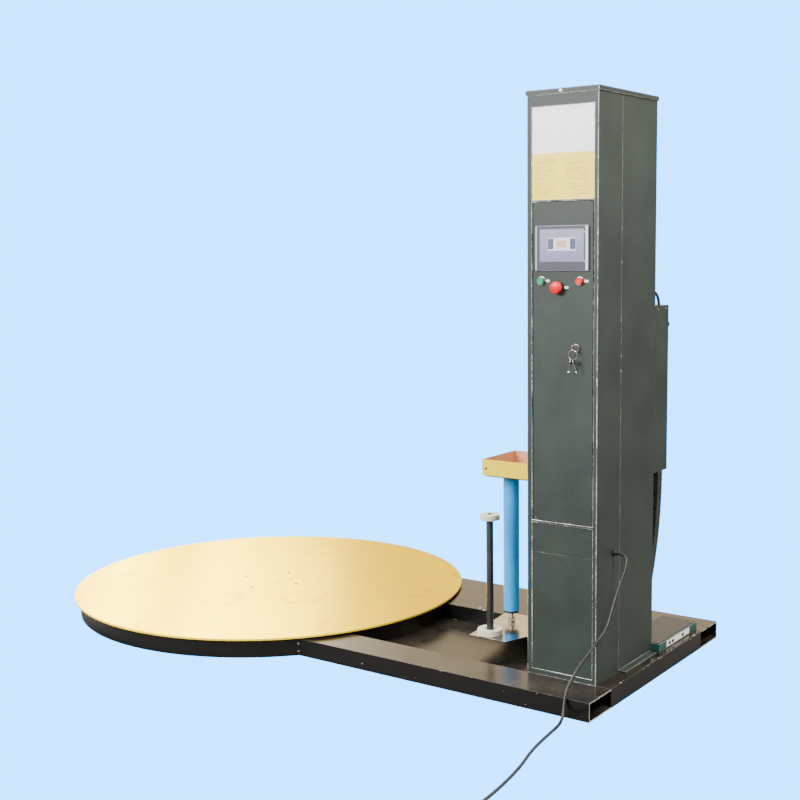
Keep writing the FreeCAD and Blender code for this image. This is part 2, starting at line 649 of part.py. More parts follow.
hinges = doc.addObject("Part::Compound", "door_hinges")
hinges.Links = [
    hinge("lower_hinge", "strip_top + seat_gap", "door_bottom + 2 - seat_gap", "door_bottom + 2 - seat_gap"),
    hinge("upper_hinge", "door_top - 1", "label_bottom", "door_top - 1 - door_pin_length"),
]
node("door_hinges", hinges)


GLASS_LOW = "screen_unit_bottom + screen_border + screen_chin"
GLASS_HIGH = "screen_unit_top - screen_border + screen_brow"
SCREEN_FACE = DOOR_FACE + " - screen_unit_proud"


def screen_unit():
    """The operator screen's bezel, proud of the door, with its body through the cut-out."""
    bezel = block("screen_bezel", ("screen_unit_left", SCREEN_FACE, "screen_unit_bottom"),
                  ("screen_unit_right", DOOR_FACE, "screen_unit_top"))
    back = block("screen_back",
                 ("screen_unit_left + screen_border + 1", DOOR_FACE, "screen_unit_bottom + screen_border + 1"),
                 ("screen_unit_right - screen_border - 1", DOOR_FACE + " + screen_unit_depth",
                  "screen_unit_top - screen_border - 1"))
    recess = block("screen_recess", ("screen_unit_left + screen_border", SCREEN_FACE + " - 1", GLASS_LOW),
                   ("screen_unit_right - screen_border", SCREEN_FACE + " + screen_recess", GLASS_HIGH))
    return cut("screen_housing", join("screen_solid", bezel, back), recess)


node("screen_housing", screen_unit())
node("screen_glass", block(
    "screen_glass", ("screen_unit_left + screen_border", SCREEN_FACE + " + screen_glass_setback", GLASS_LOW),
    ("screen_unit_right - screen_border", SCREEN_FACE + " + screen_recess", GLASS_HIGH)))


def push_button(label, x, z, radius, proud):
    """A cap in front of its collar with a stem through the door."""
    front = DOOR_FACE + " - collar_thickness - %s" % proud
    cap = rod(label + "_cap", (x, front, z), radius, "%s - button_stroke" % proud, "y")
    stem = rod(label + "_stem", (x, front, z), "button_stem",
               "%s + collar_thickness + door_thickness + button_stem_behind" % proud, "y")
    return node(label, join(label, cap, stem))


def collar(name, x, z):
    ring_solid = rod(name + "_ring", (x, DOOR_FACE + " - collar_thickness", z), "collar_radius",
                     "collar_thickness", "y")
    bore = rod(name + "_bore", (x, DOOR_FACE + " - collar_thickness - 1", z), "button_stem + running_gap",
               "collar_thickness + 2", "y")
    return cut(name, ring_solid, bore)


push_button("start_button", "start_button_x", "button_row", "button_radius", "button_proud")
push_button("stop_button", "stop_button_x", "button_row", "button_radius", "button_proud")
push_button("emergency_stop", "emergency_x", "emergency_row", "emergency_radius", "emergency_proud")
collars = doc.addObject("Part::Compound", "button_collars")
collars.Links = [
    collar("start_collar", "start_button_x", "button_row"),
    collar("stop_collar", "stop_button_x", "button_row"),
    collar("emergency_collar", "emergency_x", "emergency_row"),
]
node("button_collars", collars)


LOCK_FACE = DOOR_FACE + " - lock_flange"
KEY_Y = LOCK_FACE + " - key_reach + key_eye_setback"
EYE_Z = "lock_row - key_eye_drop"


def door_lock():
    """The barrel with the key in it and the tongue, unlocked, behind the door."""
    barrel = rod("lock_barrel", ("lock_x", LOCK_FACE, "lock_row"), "lock_radius",
                 "lock_flange + door_thickness + lock_behind", "y")
    flange = rod("lock_collar", ("lock_x", LOCK_FACE, "lock_row"), "lock_radius + lock_flange",
                 "lock_flange - seat_gap", "y")
    tongue = block("lock_tongue",
                   ("lock_x - tongue_width / 2", DOOR_BACK + " + tongue_setback",
                    "lock_row - (%s + 6 - lock_x)" % WINDOW_RIGHT),
                   ("lock_x + tongue_width / 2", DOOR_BACK + " + tongue_setback + tongue_thickness",
                    "lock_row + tongue_width / 2"))
    key = block("lock_key", ("lock_x - key_blade / 2", LOCK_FACE + " - key_reach", "lock_row - key_half_height"),
                ("lock_x + key_blade / 2", LOCK_FACE, "lock_row + key_half_height"))
    eye = rod("lock_key_eye", ("lock_x - 2", KEY_Y, EYE_Z), "key_eye_radius", "4", "x")
    return cut("door_lock", join("lock_solid", barrel, flange, tongue, key), eye)


node("door_lock", door_lock())
RING_TOP = EYE_Z + " - key_eye_radius + key_ring_wire + seat_gap"
RING_MIDDLE = RING_TOP + " - key_ring_radius"


def hanging_keys():
    """A split ring through the key's eye, with two more keys spread on its lowest part."""
    ring_solid = doc.addObject("Part::Torus", "key_ring")
    ring_solid.Placement = Placement(Vector(), Rotation(Vector(1, 0, 0), 90))
    ring_solid.setExpression("Radius1", bound("key_ring_radius"))
    ring_solid.setExpression("Radius2", bound("key_ring_wire"))
    place(ring_solid, ("lock_x", KEY_Y, RING_MIDDLE))
    pieces = [ring_solid]
    for side in (-1, 1):
        name = "spare_key_%s" % ("left" if side < 0 else "right")
        spread = value("key_spread") * side
        blade = block(name + "_blade", ("-1", "-6", "-key_length"), ("1", "6", "6"))
        key = cut(name, blade, rod(name + "_hole", ("-2", "0", "0"), "key_eye_radius", "4", "x"))
        key.Placement = Placement(Vector(), Rotation(Vector(0, 1, 0), -spread))
        reach = "(key_ring_radius + key_eye_radius - key_ring_wire - seat_gap)"
        place(key, ("lock_x + %s * sin(%g deg)" % (reach, spread), KEY_Y,
                    "%s - %s * cos(%g deg)" % (RING_MIDDLE, reach, spread)))
        pieces.append(key)
    group = doc.addObject("Part::Compound", "hanging_keys")
    group.Links = pieces
    return group


node("hanging_keys", hanging_keys())
node("electrical_plate", block(
    "electrical_plate",
    ("mast_left + electric_plate_inset", "mast_seam - mast_sheet - electric_plate_thickness",
     "electric_plate_bottom"),
    ("mast_right - electric_plate_inset", "mast_seam - mast_sheet", "electric_plate_top")))

# ---------------------------------------------------------------- lift inside the column
RAIL_LOW = "mast_left + rail_offset"
COLUMN_FRONT = "mast_seam + mast_sheet"
COLUMN_BACK = "mast_back - mast_sheet"


def guide_rail(name, low_y, high_y):
    return block(name, (RAIL_LOW, low_y, "base_height + mast_sheet"),
                 (RAIL_LOW + " + rail_size", high_y, "mast_top - mast_sheet"))


rails = doc.addObject("Part::Compound", "guide_rails")
rails.Links = [
    guide_rail("front_rail", COLUMN_FRONT, COLUMN_FRONT + " + rail_size"),
    guide_rail("rear_rail", COLUMN_BACK + " - rail_size", COLUMN_BACK),
]
node("guide_rails", rails)

CHAIN_FRONT = COLUMN_MIDDLE + " - sprocket_width / 2"


def lift_sprocket(label, height, bore):
    wheel = doc.addObject("Part::Feature", label)
    wheel.Shape = toothed_disc(value("sprocket_radius"), TOOTH_PITCH, value("sprocket_width"),
                               bore + value("running_gap"))
    wheel.Placement = Placement(Vector(), AXES["y"])
    return node(label, place(wheel, ("lift_axis_x", CHAIN_FRONT, height)))


lift_sprocket("lift_top_sprocket", "lift_top", value("top_axle_radius"))
lift_sprocket("lift_bottom_sprocket", "lift_bottom", value("drive_shaft_radius"))

lift_chain = doc.addObject("Part::Feature", "lift_chain")
lift_chain.Shape = chain_band(Vector(), Vector(0, value("lift_bottom") - value("lift_top"), 0),
                              value("sprocket_radius"), value("sprocket_radius"), value("sprocket_width"))
lift_chain.Placement = Placement(Vector(), AXES["y"])
place(lift_chain, ("lift_axis_x", CHAIN_FRONT, "lift_bottom"))
node("lift_chain", lift_chain)


def lift_gearmotor():
    """The gearbox on the rear wall, its motor above it and the shaft through the sprocket."""
    half = "lift_gearbox_size / 2"
    gearbox = block("lift_gearbox",
                    ("lift_axis_x - " + half, CHAIN_FRONT + " + sprocket_width + 10", "lift_bottom - " + half),
                    ("lift_axis_x + " + half, COLUMN_BACK, "lift_bottom + " + half))
    motor = rod("lift_motor", ("lift_axis_x", COLUMN_BACK + " - lift_motor_setback", "lift_bottom + " + half),
                "lift_motor_radius", "lift_motor_length")
    shaft = rod("lift_shaft", ("lift_axis_x", CHAIN_FRONT + " - 6", "lift_bottom"), "drive_shaft_radius",
                "sprocket_width + 16", "y")
    return join("lift_gearmotor", gearbox, motor, shaft)


node("lift_gearmotor", lift_gearmotor())

# ---------------------------------------------------------------- film carriage
PLATE_BOTTOM = "plate_top - plate_thickness"
FRAME_RIGHT = "frame_x + frame_plate"
TRAY_BACK = "tray_front + tray_depth"
padded("carriage_lower_plate",
       [("plate_left", "plate_front"), ("plate_tip", "plate_front"), ("plate_neck_x", "plate_neck_y"),
        (FRAME_RIGHT, "plate_neck_y"), (FRAME_RIGHT, "plate_back"), ("plate_left - plate_splay", "plate_back")],
       ("0", "0", PLATE_BOTTOM), "plate_thickness")

TROLLEY_LEFT = "mast_left + trolley_inset"
TROLLEY_RIGHT = "mast_left + trolley_inset + trolley_thickness"
ARM_TOP = "tray_bottom"
ARM_BOTTOM = "tray_bottom - frame_plate"


def arm_bar(side, level):
    centre = "%s + %d * slot_spacing / 2" % (COLUMN_MIDDLE, side)
    name = "arm_bar_%s_%s" % ("front" if side < 0 else "rear", level)
    return block(name, (FRAME_RIGHT + " - 1", centre + " - bar_thickness / 2", level),
                 (TROLLEY_LEFT + " + 1", centre + " + bar_thickness / 2", level + " + bar_height"))


def carriage_frame():
    """The upright, the top arm, the bars through the slots and the trolley plate inside the column."""
    upright_front = COLUMN_MIDDLE + " - slot_spacing / 2 - upright_margin"
    upright = block("carriage_upright", ("frame_x", upright_front, "plate_top"), (FRAME_RIGHT, "frame_back", ARM_TOP))
    trim = block("carriage_trim", ("frame_x - 1", upright_front + " - 1", "plate_top - 1"),
                 (FRAME_RIGHT + " + 1", "plate_neck_y", "plate_top + trim_height"))
    top_arm = block("carriage_top_arm", ("tray_left + 6", "tray_front + 12", ARM_BOTTOM),
                    (FRAME_RIGHT, "frame_back", ARM_TOP))
    trolley = block("carriage_trolley",
                    (TROLLEY_LEFT, COLUMN_FRONT + " + rail_size + trolley_gap", "lower_bar - 30"),
                    (TROLLEY_RIGHT, COLUMN_BACK + " - rail_size - trolley_gap", "upper_bar + bar_height + 20"))
    clamp = block("chain_clamp", (TROLLEY_RIGHT, CHAIN_FRONT + " - clamp_margin", "clamp_bottom"),
                  ("lift_axis_x - sprocket_radius - chain_thickness - 2 * seat_gap",
                   CHAIN_FRONT + " + sprocket_width + clamp_margin", "clamp_top"))
    bars = [arm_bar(side, level) for side in (-1, 1) for level in ("lower_bar", "upper_bar")]
    socket = rod("roller_shaft_bore", ("roller_x", "roller_y", ARM_BOTTOM + " - 1"),
                 "roller_shaft_radius + running_gap", "frame_plate - 1")
    return cut("carriage_frame", join("carriage_solid", upright, top_arm, trolley, clamp, *bars), trim, socket)


node("carriage_frame", carriage_frame())


def shoe(name, side, low_z):
    """A slider between the trolley plate and one guide rail's inner face."""
    if side < 0:
        low_y = COLUMN_FRONT + " + rail_size + seat_gap"
        high_y = low_y + " + shoe_depth"
    else:
        high_y = COLUMN_BACK + " - rail_size - seat_gap"
        low_y = high_y + " - shoe_depth"
    return block(name, (TROLLEY_RIGHT, low_y, low_z), (RAIL_LOW + " + rail_size", high_y, low_z + " + shoe_height"))


shoes = doc.addObject("Part::Compound", "carriage_shoes")
shoes.Links = [
    shoe("front_lower_shoe", -1, "lower_bar - 20"),
    shoe("rear_lower_shoe", 1, "lower_bar - 20"),
    shoe("front_upper_shoe", -1, "upper_bar + 20"),
    shoe("rear_upper_shoe", 1, "upper_bar + 20"),
]
node("carriage_shoes", shoes)

tray_outer = block("tray_outer", ("tray_left", "tray_front", "tray_bottom"),
                   (FRAME_RIGHT, TRAY_BACK, "tray_bottom + tray_height"))
tray_hollow = block("tray_hollow", ("tray_left + tray_sheet", "tray_front + tray_sheet", "tray_bottom + tray_sheet"),
                    (FRAME_RIGHT + " - tray_sheet", TRAY_BACK + " - tray_sheet", "tray_bottom + tray_height + 1"))
node("carriage_tray", cut("carriage_tray", tray_outer, tray_hollow))


def roller_shaft():
    """The fixed shaft from the lower plate to the top arm, with its nut."""
    shaft = rod("roller_shaft_pin", ("roller_x", "roller_y", "plate_top"), "roller_shaft_radius",
                ARM_BOTTOM + " + frame_plate - 2.5 - plate_top")
    nut = rod("roller_nut", ("roller_x", "roller_y", "plate_top"), "roller_nut_radius",
              "roller_bottom - plate_top - seat_gap")
    return join("roller_shaft", shaft, nut)


node("roller_shaft", roller_shaft())
turned("film_roller",
       [("roller_shaft_radius + running_gap", "0"), ("roller_radius", "0"),
        ("roller_radius", ARM_BOTTOM + " - roller_bottom - seat_gap"),
        ("roller_shaft_radius + running_gap", ARM_BOTTOM + " - roller_bottom - seat_gap")],
       ("roller_x", "roller_y", "roller_bottom"))
node("mandrel_rod", rod("mandrel_rod", ("mandrel_x", "mandrel_y", "plate_top"), "mandrel_radius",
                        "mandrel_cap_bottom + mandrel_cap_socket - plate_top"))
turned("mandrel_disc",
       [("mandrel_radius + running_gap", "0"), ("mandrel_disc_radius", "0"),
        ("mandrel_disc_radius", "mandrel_disc_height"), ("mandrel_radius + 8", "mandrel_disc_height"),
        ("mandrel_radius + 8", "mandrel_disc_height - 5"),
        ("mandrel_radius + running_gap", "mandrel_disc_height - 5")],
       ("mandrel_x", "mandrel_y", "plate_top + seat_gap"))
turned("mandrel_cap",
       [("0", "mandrel_cap_socket + seat_gap"), ("mandrel_radius + running_gap", "mandrel_cap_socket + seat_gap"),
        ("mandrel_radius + running_gap", "0"), ("mandrel_cap_radius", "0"),
        ("mandrel_cap_radius", "mandrel_cap_height"), ("0", "mandrel_cap_height")],
       ("mandrel_x", "mandrel_y", "mandrel_cap_bottom"))

# ---------------------------------------------------------------- energy chain box, chain and cable
box_case = block("rear_box_case", ("mast_right - box_width", "mast_back", "box_bottom"),
                 ("mast_right", "mast_back + box_depth", "box_bottom + box_height"))
box_knob = rod("rear_box_knob",
               ("mast_right - knob_inset", "mast_back + box_depth", "box_bottom + box_height - knob_drop"),
               "knob_radius", "knob_length", "y")
node("rear_box", join("rear_box", box_case, box_knob))


def cable_loop():
    """A quarter bend of cable from the column's rear wall down into the box's lid."""
    bend = doc.addObject("Part::Torus", "cable_loop")
    bend.setExpression("Radius1", bound("cable_bend"))
    bend.setExpression("Radius2", bound("cable_radius"))
    bend.Angle3 = 90
    bend.Placement = Placement(Vector(), Rotation(Vector(0, 0, 1), Vector(1, 0, 0)).multiply(
        Rotation(Vector(0, 0, 1), 90)))
    return place(bend, ("cable_x", "mast_back", "box_bottom + box_height"))


node("cable_loop", cable_loop())


def chain_route():
    """Centre line of the hanging energy chain in the XZ plane, as points with unit normals."""
    start = Vector(value("mast_right") - value("link_thickness") / 2, 0, value("box_bottom"))
    lean_radius = value("chain_lean_radius")
    loop_radius = value("chain_loop_radius")
    lean = math.radians(value("chain_lean_angle"))
    turn_back = math.radians(value("chain_turn_angle"))
    lean_centre = start - Vector(lean_radius, 0, 0)
    loop_entry = lean_centre + Vector(lean_radius * math.cos(lean), 0, -lean_radius * math.sin(lean))
    loop_centre = loop_entry + Vector(-loop_radius * math.cos(lean), 0, loop_radius * math.sin(lean))
    lengths = (lean_radius * lean, loop_radius * (turn_back - lean), value("chain_rise"))

    def at(travel):
        if travel <= lengths[0]:
            angle = travel / lean_radius
            normal = Vector(math.cos(angle), 0, -math.sin(angle))
            return lean_centre + normal * lean_radius, normal
        if travel <= lengths[0] + lengths[1]:
            angle = lean + (travel - lengths[0]) / loop_radius
            normal = Vector(math.cos(angle), 0, -math.sin(angle))
            return loop_centre + normal * loop_radius, normal
        normal = Vector(math.cos(turn_back), 0, -math.sin(turn_back))
        end = loop_centre + normal * loop_radius
        along = Vector(-math.sin(turn_back), 0, -math.cos(turn_back))
        return end + along * (travel - lengths[0] - lengths[1]), normal

    return at, sum(lengths)


def drag_chain():
    """Separate links along the route, each bounded by the route's own normals."""
    at, total = chain_route()
    half = value("link_thickness") / 2
    gap = value("link_gap")
    count = int(total // value("link_pitch"))
    pitch = total / count
    low_y = value("mast_back") + value("box_depth") / 2 - value("link_width") / 2
    width = Vector(0, value("link_width"), 0)
    links = []
    for index in range(count):
        corners = []
        for travel, sides in ((index * pitch + gap, (1, -1)), ((index + 1) * pitch, (-1, 1))):
            point, normal = at(travel)
            corners += [point + normal * half * side + Vector(0, low_y, 0) for side in sides]
        links.append(Part.Face(Part.makePolygon(corners + corners[:1])).extrude(width))
    end_point, normal = at(total)
    bracket_low = Vector(end_point.x - half, value("mast_back"), end_point.z + half * abs(normal.z) + gap)
    links.append(Part.makeBox(2 * half, value("box_depth") / 2 + value("link_width") / 2,
                              value("link_bracket"), bracket_low))
    return Part.makeCompound(links)


energy_chain = doc.addObject("Part::Feature", "drag_chain")
energy_chain.Shape = drag_chain()
node("drag_chain", energy_chain)

# ---------------------------------------------------------------- terminal box at the foot
node("foot_box", block("foot_box", ("foot_box_left", "mast_back", "base_height"),
                       ("foot_box_right", "mast_back + foot_box_length", "base_height + foot_box_height")))

# ---------------------------------------------------------------- supply cord
GLAND_TIP = "mast_right + gland_length"
node("cord_gland", rod("cord_gland", ("mast_right", "gland_y", "gland_row"), "gland_radius", "gland_length", "x"))

# The cord's own route, from the gland's mouth down the mast's side.
CORD_DROP = [
    (1764, -253, 489), (1776, -253, 489), (1789, -255, 487), (1801, -260, 481), (1809, -268, 469),
    (1811, -277, 451), (1808, -288, 427), (1802, -304, 396), (1798, -325, 358), (1795, -343, 321),
    (1791, -356, 286), (1786, -374, 257), (1777, -401, 236), (1767, -424, 210), (1755, -453, 183),
    (1743, -479, 154),
]
# The rest of it, over the base's edge and along the floor to the coil, with Y measured from that edge.
CORD_RUN = [
    (1732, 23, 121), (1725, 5, 92), (1724, -8, 62), (1727, -18, 36), (1731, -32, 17), (1736, -53, 8),
    (1742, -80, 5), (1748, -122, 5), (1756, -196, 5), (1772, -304, 5), (1803, -418, 5),
    (1824, -545, 5), (1836, -665, 5), (1833, -750, 5), (1831, -807, 5),
]
CORD_ROUTE = CORD_DROP + [(x, y - value("base_half_width"), z) for x, y, z in CORD_RUN]


def rounded_path(points):
    """Straight runs joined by tangent arcs, each arc as large as its two runs allow."""
    points = [Vector(*point) for point in points]
    edges = []
    last = points[0]
    radii = []
    for before, corner, after in zip(points, points[1:], points[2:]):
        inward = (before - corner).normalize()
        outward = (after - corner).normalize()
        turn = math.pi - inward.getAngle(outward)
        reach = 0.45 * min((before - corner).Length, (after - corner).Length)
        radius = reach / math.tan(turn / 2)
        radii.append(radius)
        enter = corner + inward * reach
        leave = corner + outward * reach
        middle = (inward + outward).normalize()
        centre_distance = math.hypot(radius, reach)
        nearest = corner + middle * (centre_distance - radius)
        edges.append(Part.LineSegment(last, enter).toShape())
        edges.append(Part.Arc(enter, nearest, leave).toShape())
        last = leave
    edges.append(Part.LineSegment(last, points[-1]).toShape())
    return Part.Wire(edges), radii


def cord_tube():
    wire, radii = rounded_path(CORD_ROUTE)
    first = Vector(*CORD_ROUTE[0])
    direction = Vector(*CORD_ROUTE[1]) - first
    section = Part.Wire(Part.makeCircle(value("cord_radius"), first, direction))
    tube = wire.makePipeShell([section], True, False, 2)
    print("cord radii", [round(radius) for radius in radii])
    expected = math.pi * value("cord_radius") ** 2 * wire.Length
    print("cord length %.0f, volume ratio %.4f" % (wire.Length, tube.Volume / expected))
    return tube


cord = doc.addObject("Part::Feature", "power_cord")
cord.Shape = cord_tube()
node("power_cord", cord)

turned("power_coil",
       [("coil_inner", "0"), ("coil_outer", "0"), ("coil_outer", "coil_height"), ("coil_inner", "coil_height")],
       ("coil_x", "coil_y", "0"))


def plug():
    """A plain moulded plug with three flat pins, lying where the cord leaves the coil."""
    middle = "coil_y - plug_side"
    start = "coil_x - plug_setback"
    shoulder = start + " - grip_length"
    face = shoulder + " - head_length"
    grip = block("plug_grip", (shoulder, middle + " - grip_width / 2", "0"),
                 (start, middle + " + grip_width / 2", "grip_height"))
    head = block("plug_head", (face, middle + " - head_width / 2", "0"),
                 (shoulder, middle + " + head_width / 2", "head_height"))
    pins = [block("plug_pin_%d" % (index + 1),
                  (face + " - pin_length", middle + " + %d * pin_pitch - 1" % side, "pin_bottom"),
                  (face, middle + " + %d * pin_pitch + 1" % side, "pin_top"))
            for index, side in enumerate((-1, 0, 1))]
    return join("power_plug", grip, head, *pins)


node("power_plug", plug())

# ---------------------------------------------------------------- checks and export
doc.recompute()
failed = [obj.Name for obj in doc.Objects if {"Invalid", "Error"} & set(obj.State)]
if failed:
    raise RuntimeError("objects that failed: %s" % ", ".join(failed))
for label, obj in nodes.items():
    if obj.Shape.isNull() or not obj.Shape.isValid() or not obj.Shape.Solids:
        raise RuntimeError("no valid solid in " + label)

os.makedirs("parts", exist_ok=True)
for label, obj in nodes.items():
    obj.Shape.exportStep("parts/%s.step" % label)
print("%d nodes" % len(nodes))
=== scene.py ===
import json
import math

import bpy
from mathutils import Euler, Matrix, Vector

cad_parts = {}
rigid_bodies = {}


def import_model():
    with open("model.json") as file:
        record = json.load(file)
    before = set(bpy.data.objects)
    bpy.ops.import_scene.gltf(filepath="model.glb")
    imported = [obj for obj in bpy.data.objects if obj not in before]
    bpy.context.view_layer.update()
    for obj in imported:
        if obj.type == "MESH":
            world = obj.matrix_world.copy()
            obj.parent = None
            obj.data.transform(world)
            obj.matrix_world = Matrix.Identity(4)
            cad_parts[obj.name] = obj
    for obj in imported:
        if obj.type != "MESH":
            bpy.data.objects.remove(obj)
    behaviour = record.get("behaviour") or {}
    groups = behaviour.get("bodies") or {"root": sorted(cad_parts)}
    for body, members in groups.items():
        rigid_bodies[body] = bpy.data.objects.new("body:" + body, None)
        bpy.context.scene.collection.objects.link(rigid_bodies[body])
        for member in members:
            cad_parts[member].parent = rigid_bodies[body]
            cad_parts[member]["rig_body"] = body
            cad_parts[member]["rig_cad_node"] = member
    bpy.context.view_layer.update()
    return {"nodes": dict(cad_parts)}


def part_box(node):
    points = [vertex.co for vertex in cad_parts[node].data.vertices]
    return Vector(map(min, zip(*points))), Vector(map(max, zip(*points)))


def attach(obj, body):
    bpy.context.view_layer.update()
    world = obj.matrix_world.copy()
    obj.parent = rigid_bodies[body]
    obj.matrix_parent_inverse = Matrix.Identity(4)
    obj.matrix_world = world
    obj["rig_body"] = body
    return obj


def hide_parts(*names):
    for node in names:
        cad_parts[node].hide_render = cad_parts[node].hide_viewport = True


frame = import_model()

# ------------------------------------------------------------------ camera
# A camera at standing height off the mast's front right corner, tipped a little down.
# It looks across the base towards the turntable with a moderately long lens.
camera_place = (3.5838, -3.9702, 1.5114)
tipped_down, turned_left, rolled = 0.12238, 0.62757, -0.01359
bpy.ops.object.camera_add(location=camera_place)
camera = bpy.context.object
camera.name = "camera"
level = Euler((math.pi / 2 - tipped_down, 0, turned_left)).to_matrix()
camera.rotation_euler = (level @ Matrix.Rotation(rolled, 3, "Z")).to_euler()
camera.data.sensor_width = 36
camera.data.lens = 56.646
bpy.context.scene.camera = camera


# ------------------------------------------------------------------ supply cord
# A 10 mm black rubber lead that leaves a gland on the mast's right side, drops over
# the base's edge and runs along the floor to a neat tied coil with a moulded plug.
def alone(piece):
    """Leaves one object selected and active."""
    bpy.ops.object.select_all(action="DESELECT")
    piece.select_set(True)
    bpy.context.view_layer.objects.active = piece


def named(name):
    """Names the active object and its data."""
    bpy.context.object.name = bpy.context.object.data.name = name
    return bpy.context.object


def seated(piece):
    """Puts an object's place into its mesh, so that the object sits at the origin."""
    alone(piece)
    bpy.ops.object.transform_apply(location=True, rotation=True, scale=True)
    return piece


def box(name, low, high):
    """A cube primitive between two corners."""
    bpy.ops.object.select_all(action="DESELECT")
    middle = [(a + b) / 2 for a, b in zip(low, high)]
    size = [b - a for a, b in zip(low, high)]
    bpy.ops.mesh.primitive_cube_add(size=1, location=middle, scale=size)
    return seated(named(name))


# How a primitive that stands along Z is turned to lie along each axis.
TURN = {"x": (0, math.pi / 2, 0), "y": (-math.pi / 2, 0, 0), "z": (0, 0, 0)}


def rod(name, start, radius, length, axis="z", sides=48, tip=None):
    """A cylinder, or a cone when it has a tip radius, from its start centre along +X, +Y or +Z."""
    bpy.ops.object.select_all(action="DESELECT")
    middle = [s + length / 2 * (axis == letter) for s, letter in zip(start, "xyz")]
    end_radius = radius if tip is None else tip
    bpy.ops.mesh.primitive_cone_add(vertices=sides, radius1=radius, radius2=end_radius,
                                    depth=length, location=middle, rotation=TURN[axis])
    return seated(named(name))


def pick(piece, test):
    """Enters edit mode with only the faces selected whose centre and normal pass the test."""
    alone(piece)
    bpy.ops.object.mode_set(mode="EDIT")
    bpy.ops.mesh.select_mode(type="FACE")
    bpy.ops.mesh.select_all(action="DESELECT")
    bpy.ops.object.mode_set(mode="OBJECT")
    for face in piece.data.polygons:
        face.select = test(face.center, face.normal)
    bpy.ops.object.mode_set(mode="EDIT")


def done_editing():
    """Leaves edit mode."""
    bpy.ops.object.mode_set(mode="OBJECT")


def finish_with(piece, kind, **settings):
    """Adds a modifier with these settings and applies it."""
    alone(piece)
    modifier = piece.modifiers.new(kind.lower(), kind)
    for key, value in settings.items():
        setattr(modifier, key, value)
    bpy.ops.object.modifier_apply(modifier=modifier.name)
    return piece


def rounded(piece, width, segments=2, angle=30, edge_slot=-1):
    """Rounds every edge sharper than the angle, and smooths what is shallower."""
    finish_with(piece, "BEVEL", width=width, segments=segments, limit_method="ANGLE",
                angle_limit=math.radians(angle), material=edge_slot)
    bpy.ops.object.shade_smooth_by_angle(angle=math.radians(40))
    return finish_with(piece, "WEIGHTED_NORMAL", keep_sharp=True, weight=100)


def smoothed(piece, angle=40):
    """Smooths a piece's faces again across every edge shallower than the angle."""
    alone(piece)
    bpy.ops.object.shade_smooth_by_angle(angle=math.radians(angle))


def joined(name, *pieces):
    """Makes one object of several."""
    bpy.ops.object.select_all(action="DESELECT")
    for piece in pieces:
        piece.select_set(True)
    bpy.context.view_layer.objects.active = pieces[0]
    bpy.ops.object.join()
    return named(name)


def dress(piece, *materials):
    """Gives a piece these materials and no others."""
    piece.data.materials.clear()
    for material in materials:
        piece.data.materials.append(material)
    return piece


def fit(piece, body, slot, *materials):
    """Gives a finished piece its materials and its body. The slot argument is not used."""
    if materials:
        dress(piece, *materials)
    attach(piece, body)
    return piece


def softened(node, slot, width, *materials, segments=2):
    """A copy of a CAD node with its facets merged and its edges rounded, standing for that node.

    Its faces take the first material and its rounded edges the second, when there is one.
    """
    source = frame["nodes"][node]
    piece = source.copy()
    piece.data = source.data.copy()
    piece.parent = None
    body = piece["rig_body"]
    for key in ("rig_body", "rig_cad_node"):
        del piece[key]
    bpy.context.scene.collection.objects.link(piece)
    piece.name = piece.data.name = node + "_made"
    alone(piece)
    bpy.ops.mesh.customdata_custom_splitnormals_clear()
    bpy.ops.object.mode_set(mode="EDIT")
    bpy.ops.mesh.select_all(action="SELECT")
    bpy.ops.mesh.remove_doubles(threshold=0.00003)
    bpy.ops.mesh.dissolve_limited(angle_limit=math.radians(0.4))
    done_editing()
    dress(piece, *materials)
    for face in piece.data.polygons:
        face.material_index = 0
    rounded(piece, width, segments, edge_slot=1 if len(materials) > 1 else -1)
    fit(piece, body, slot)
    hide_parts(node)
    return piece


def add(tree, kind, links=None, **settings):
    """A shader node with its settings and its inputs, which are values or other nodes' outputs."""
    made = tree.nodes.new("ShaderNode" + kind)
    for key, value in settings.items():
        setattr(made, key, value)
    for key, value in (links or {}).items():
        if isinstance(value, bpy.types.NodeSocket):
            tree.links.new(value, made.inputs[key])
        else:
            made.inputs[key].default_value = value
    return made


def group(name, inputs, outputs):
    """An empty shader group with named sockets: (name, kind, value) in, (name, kind) out."""
    tree = bpy.data.node_groups.new(name, "ShaderNodeTree")
    for label, kind, value in inputs:
        socket = tree.interface.new_socket(label, in_out="INPUT", socket_type="NodeSocket" + kind)
        if value is not None:
            socket.default_value = value
    for label, kind in outputs:
        tree.interface.new_socket(label, in_out="OUTPUT", socket_type="NodeSocket" + kind)
    return tree, tree.nodes.new("NodeGroupInput").outputs, tree.nodes.new("NodeGroupOutput").inputs


def product(tree, one, other, clamp=False):
    """The product of two values or outputs in a shader tree."""
    made = add(tree, "Math", {0: one, 1: other}, operation="MULTIPLY", use_clamp=clamp)
    return made.outputs[0]


def placed(tree, name, **values):
    """A group node in a material, with its inputs set or linked."""
    made = tree.nodes.new("ShaderNodeGroup")
    made.node_tree = bpy.data.node_groups[name]
    for key, value in values.items():
        key = key.replace("_", " ").capitalize()
        if isinstance(value, bpy.types.NodeSocket):
            tree.links.new(value, made.inputs[key])
        else:
            made.inputs[key].default_value = value
    return made.outputs


def colour(red, green, blue):
    """A colour given as it looks on a screen, 0 to 255, in linear light."""
    parts = [c / 255 for c in (red, green, blue)]
    return [c / 12.92 if c < 0.04045 else ((c + 0.055) / 1.055) ** 2.4 for c in parts] + [1.0]


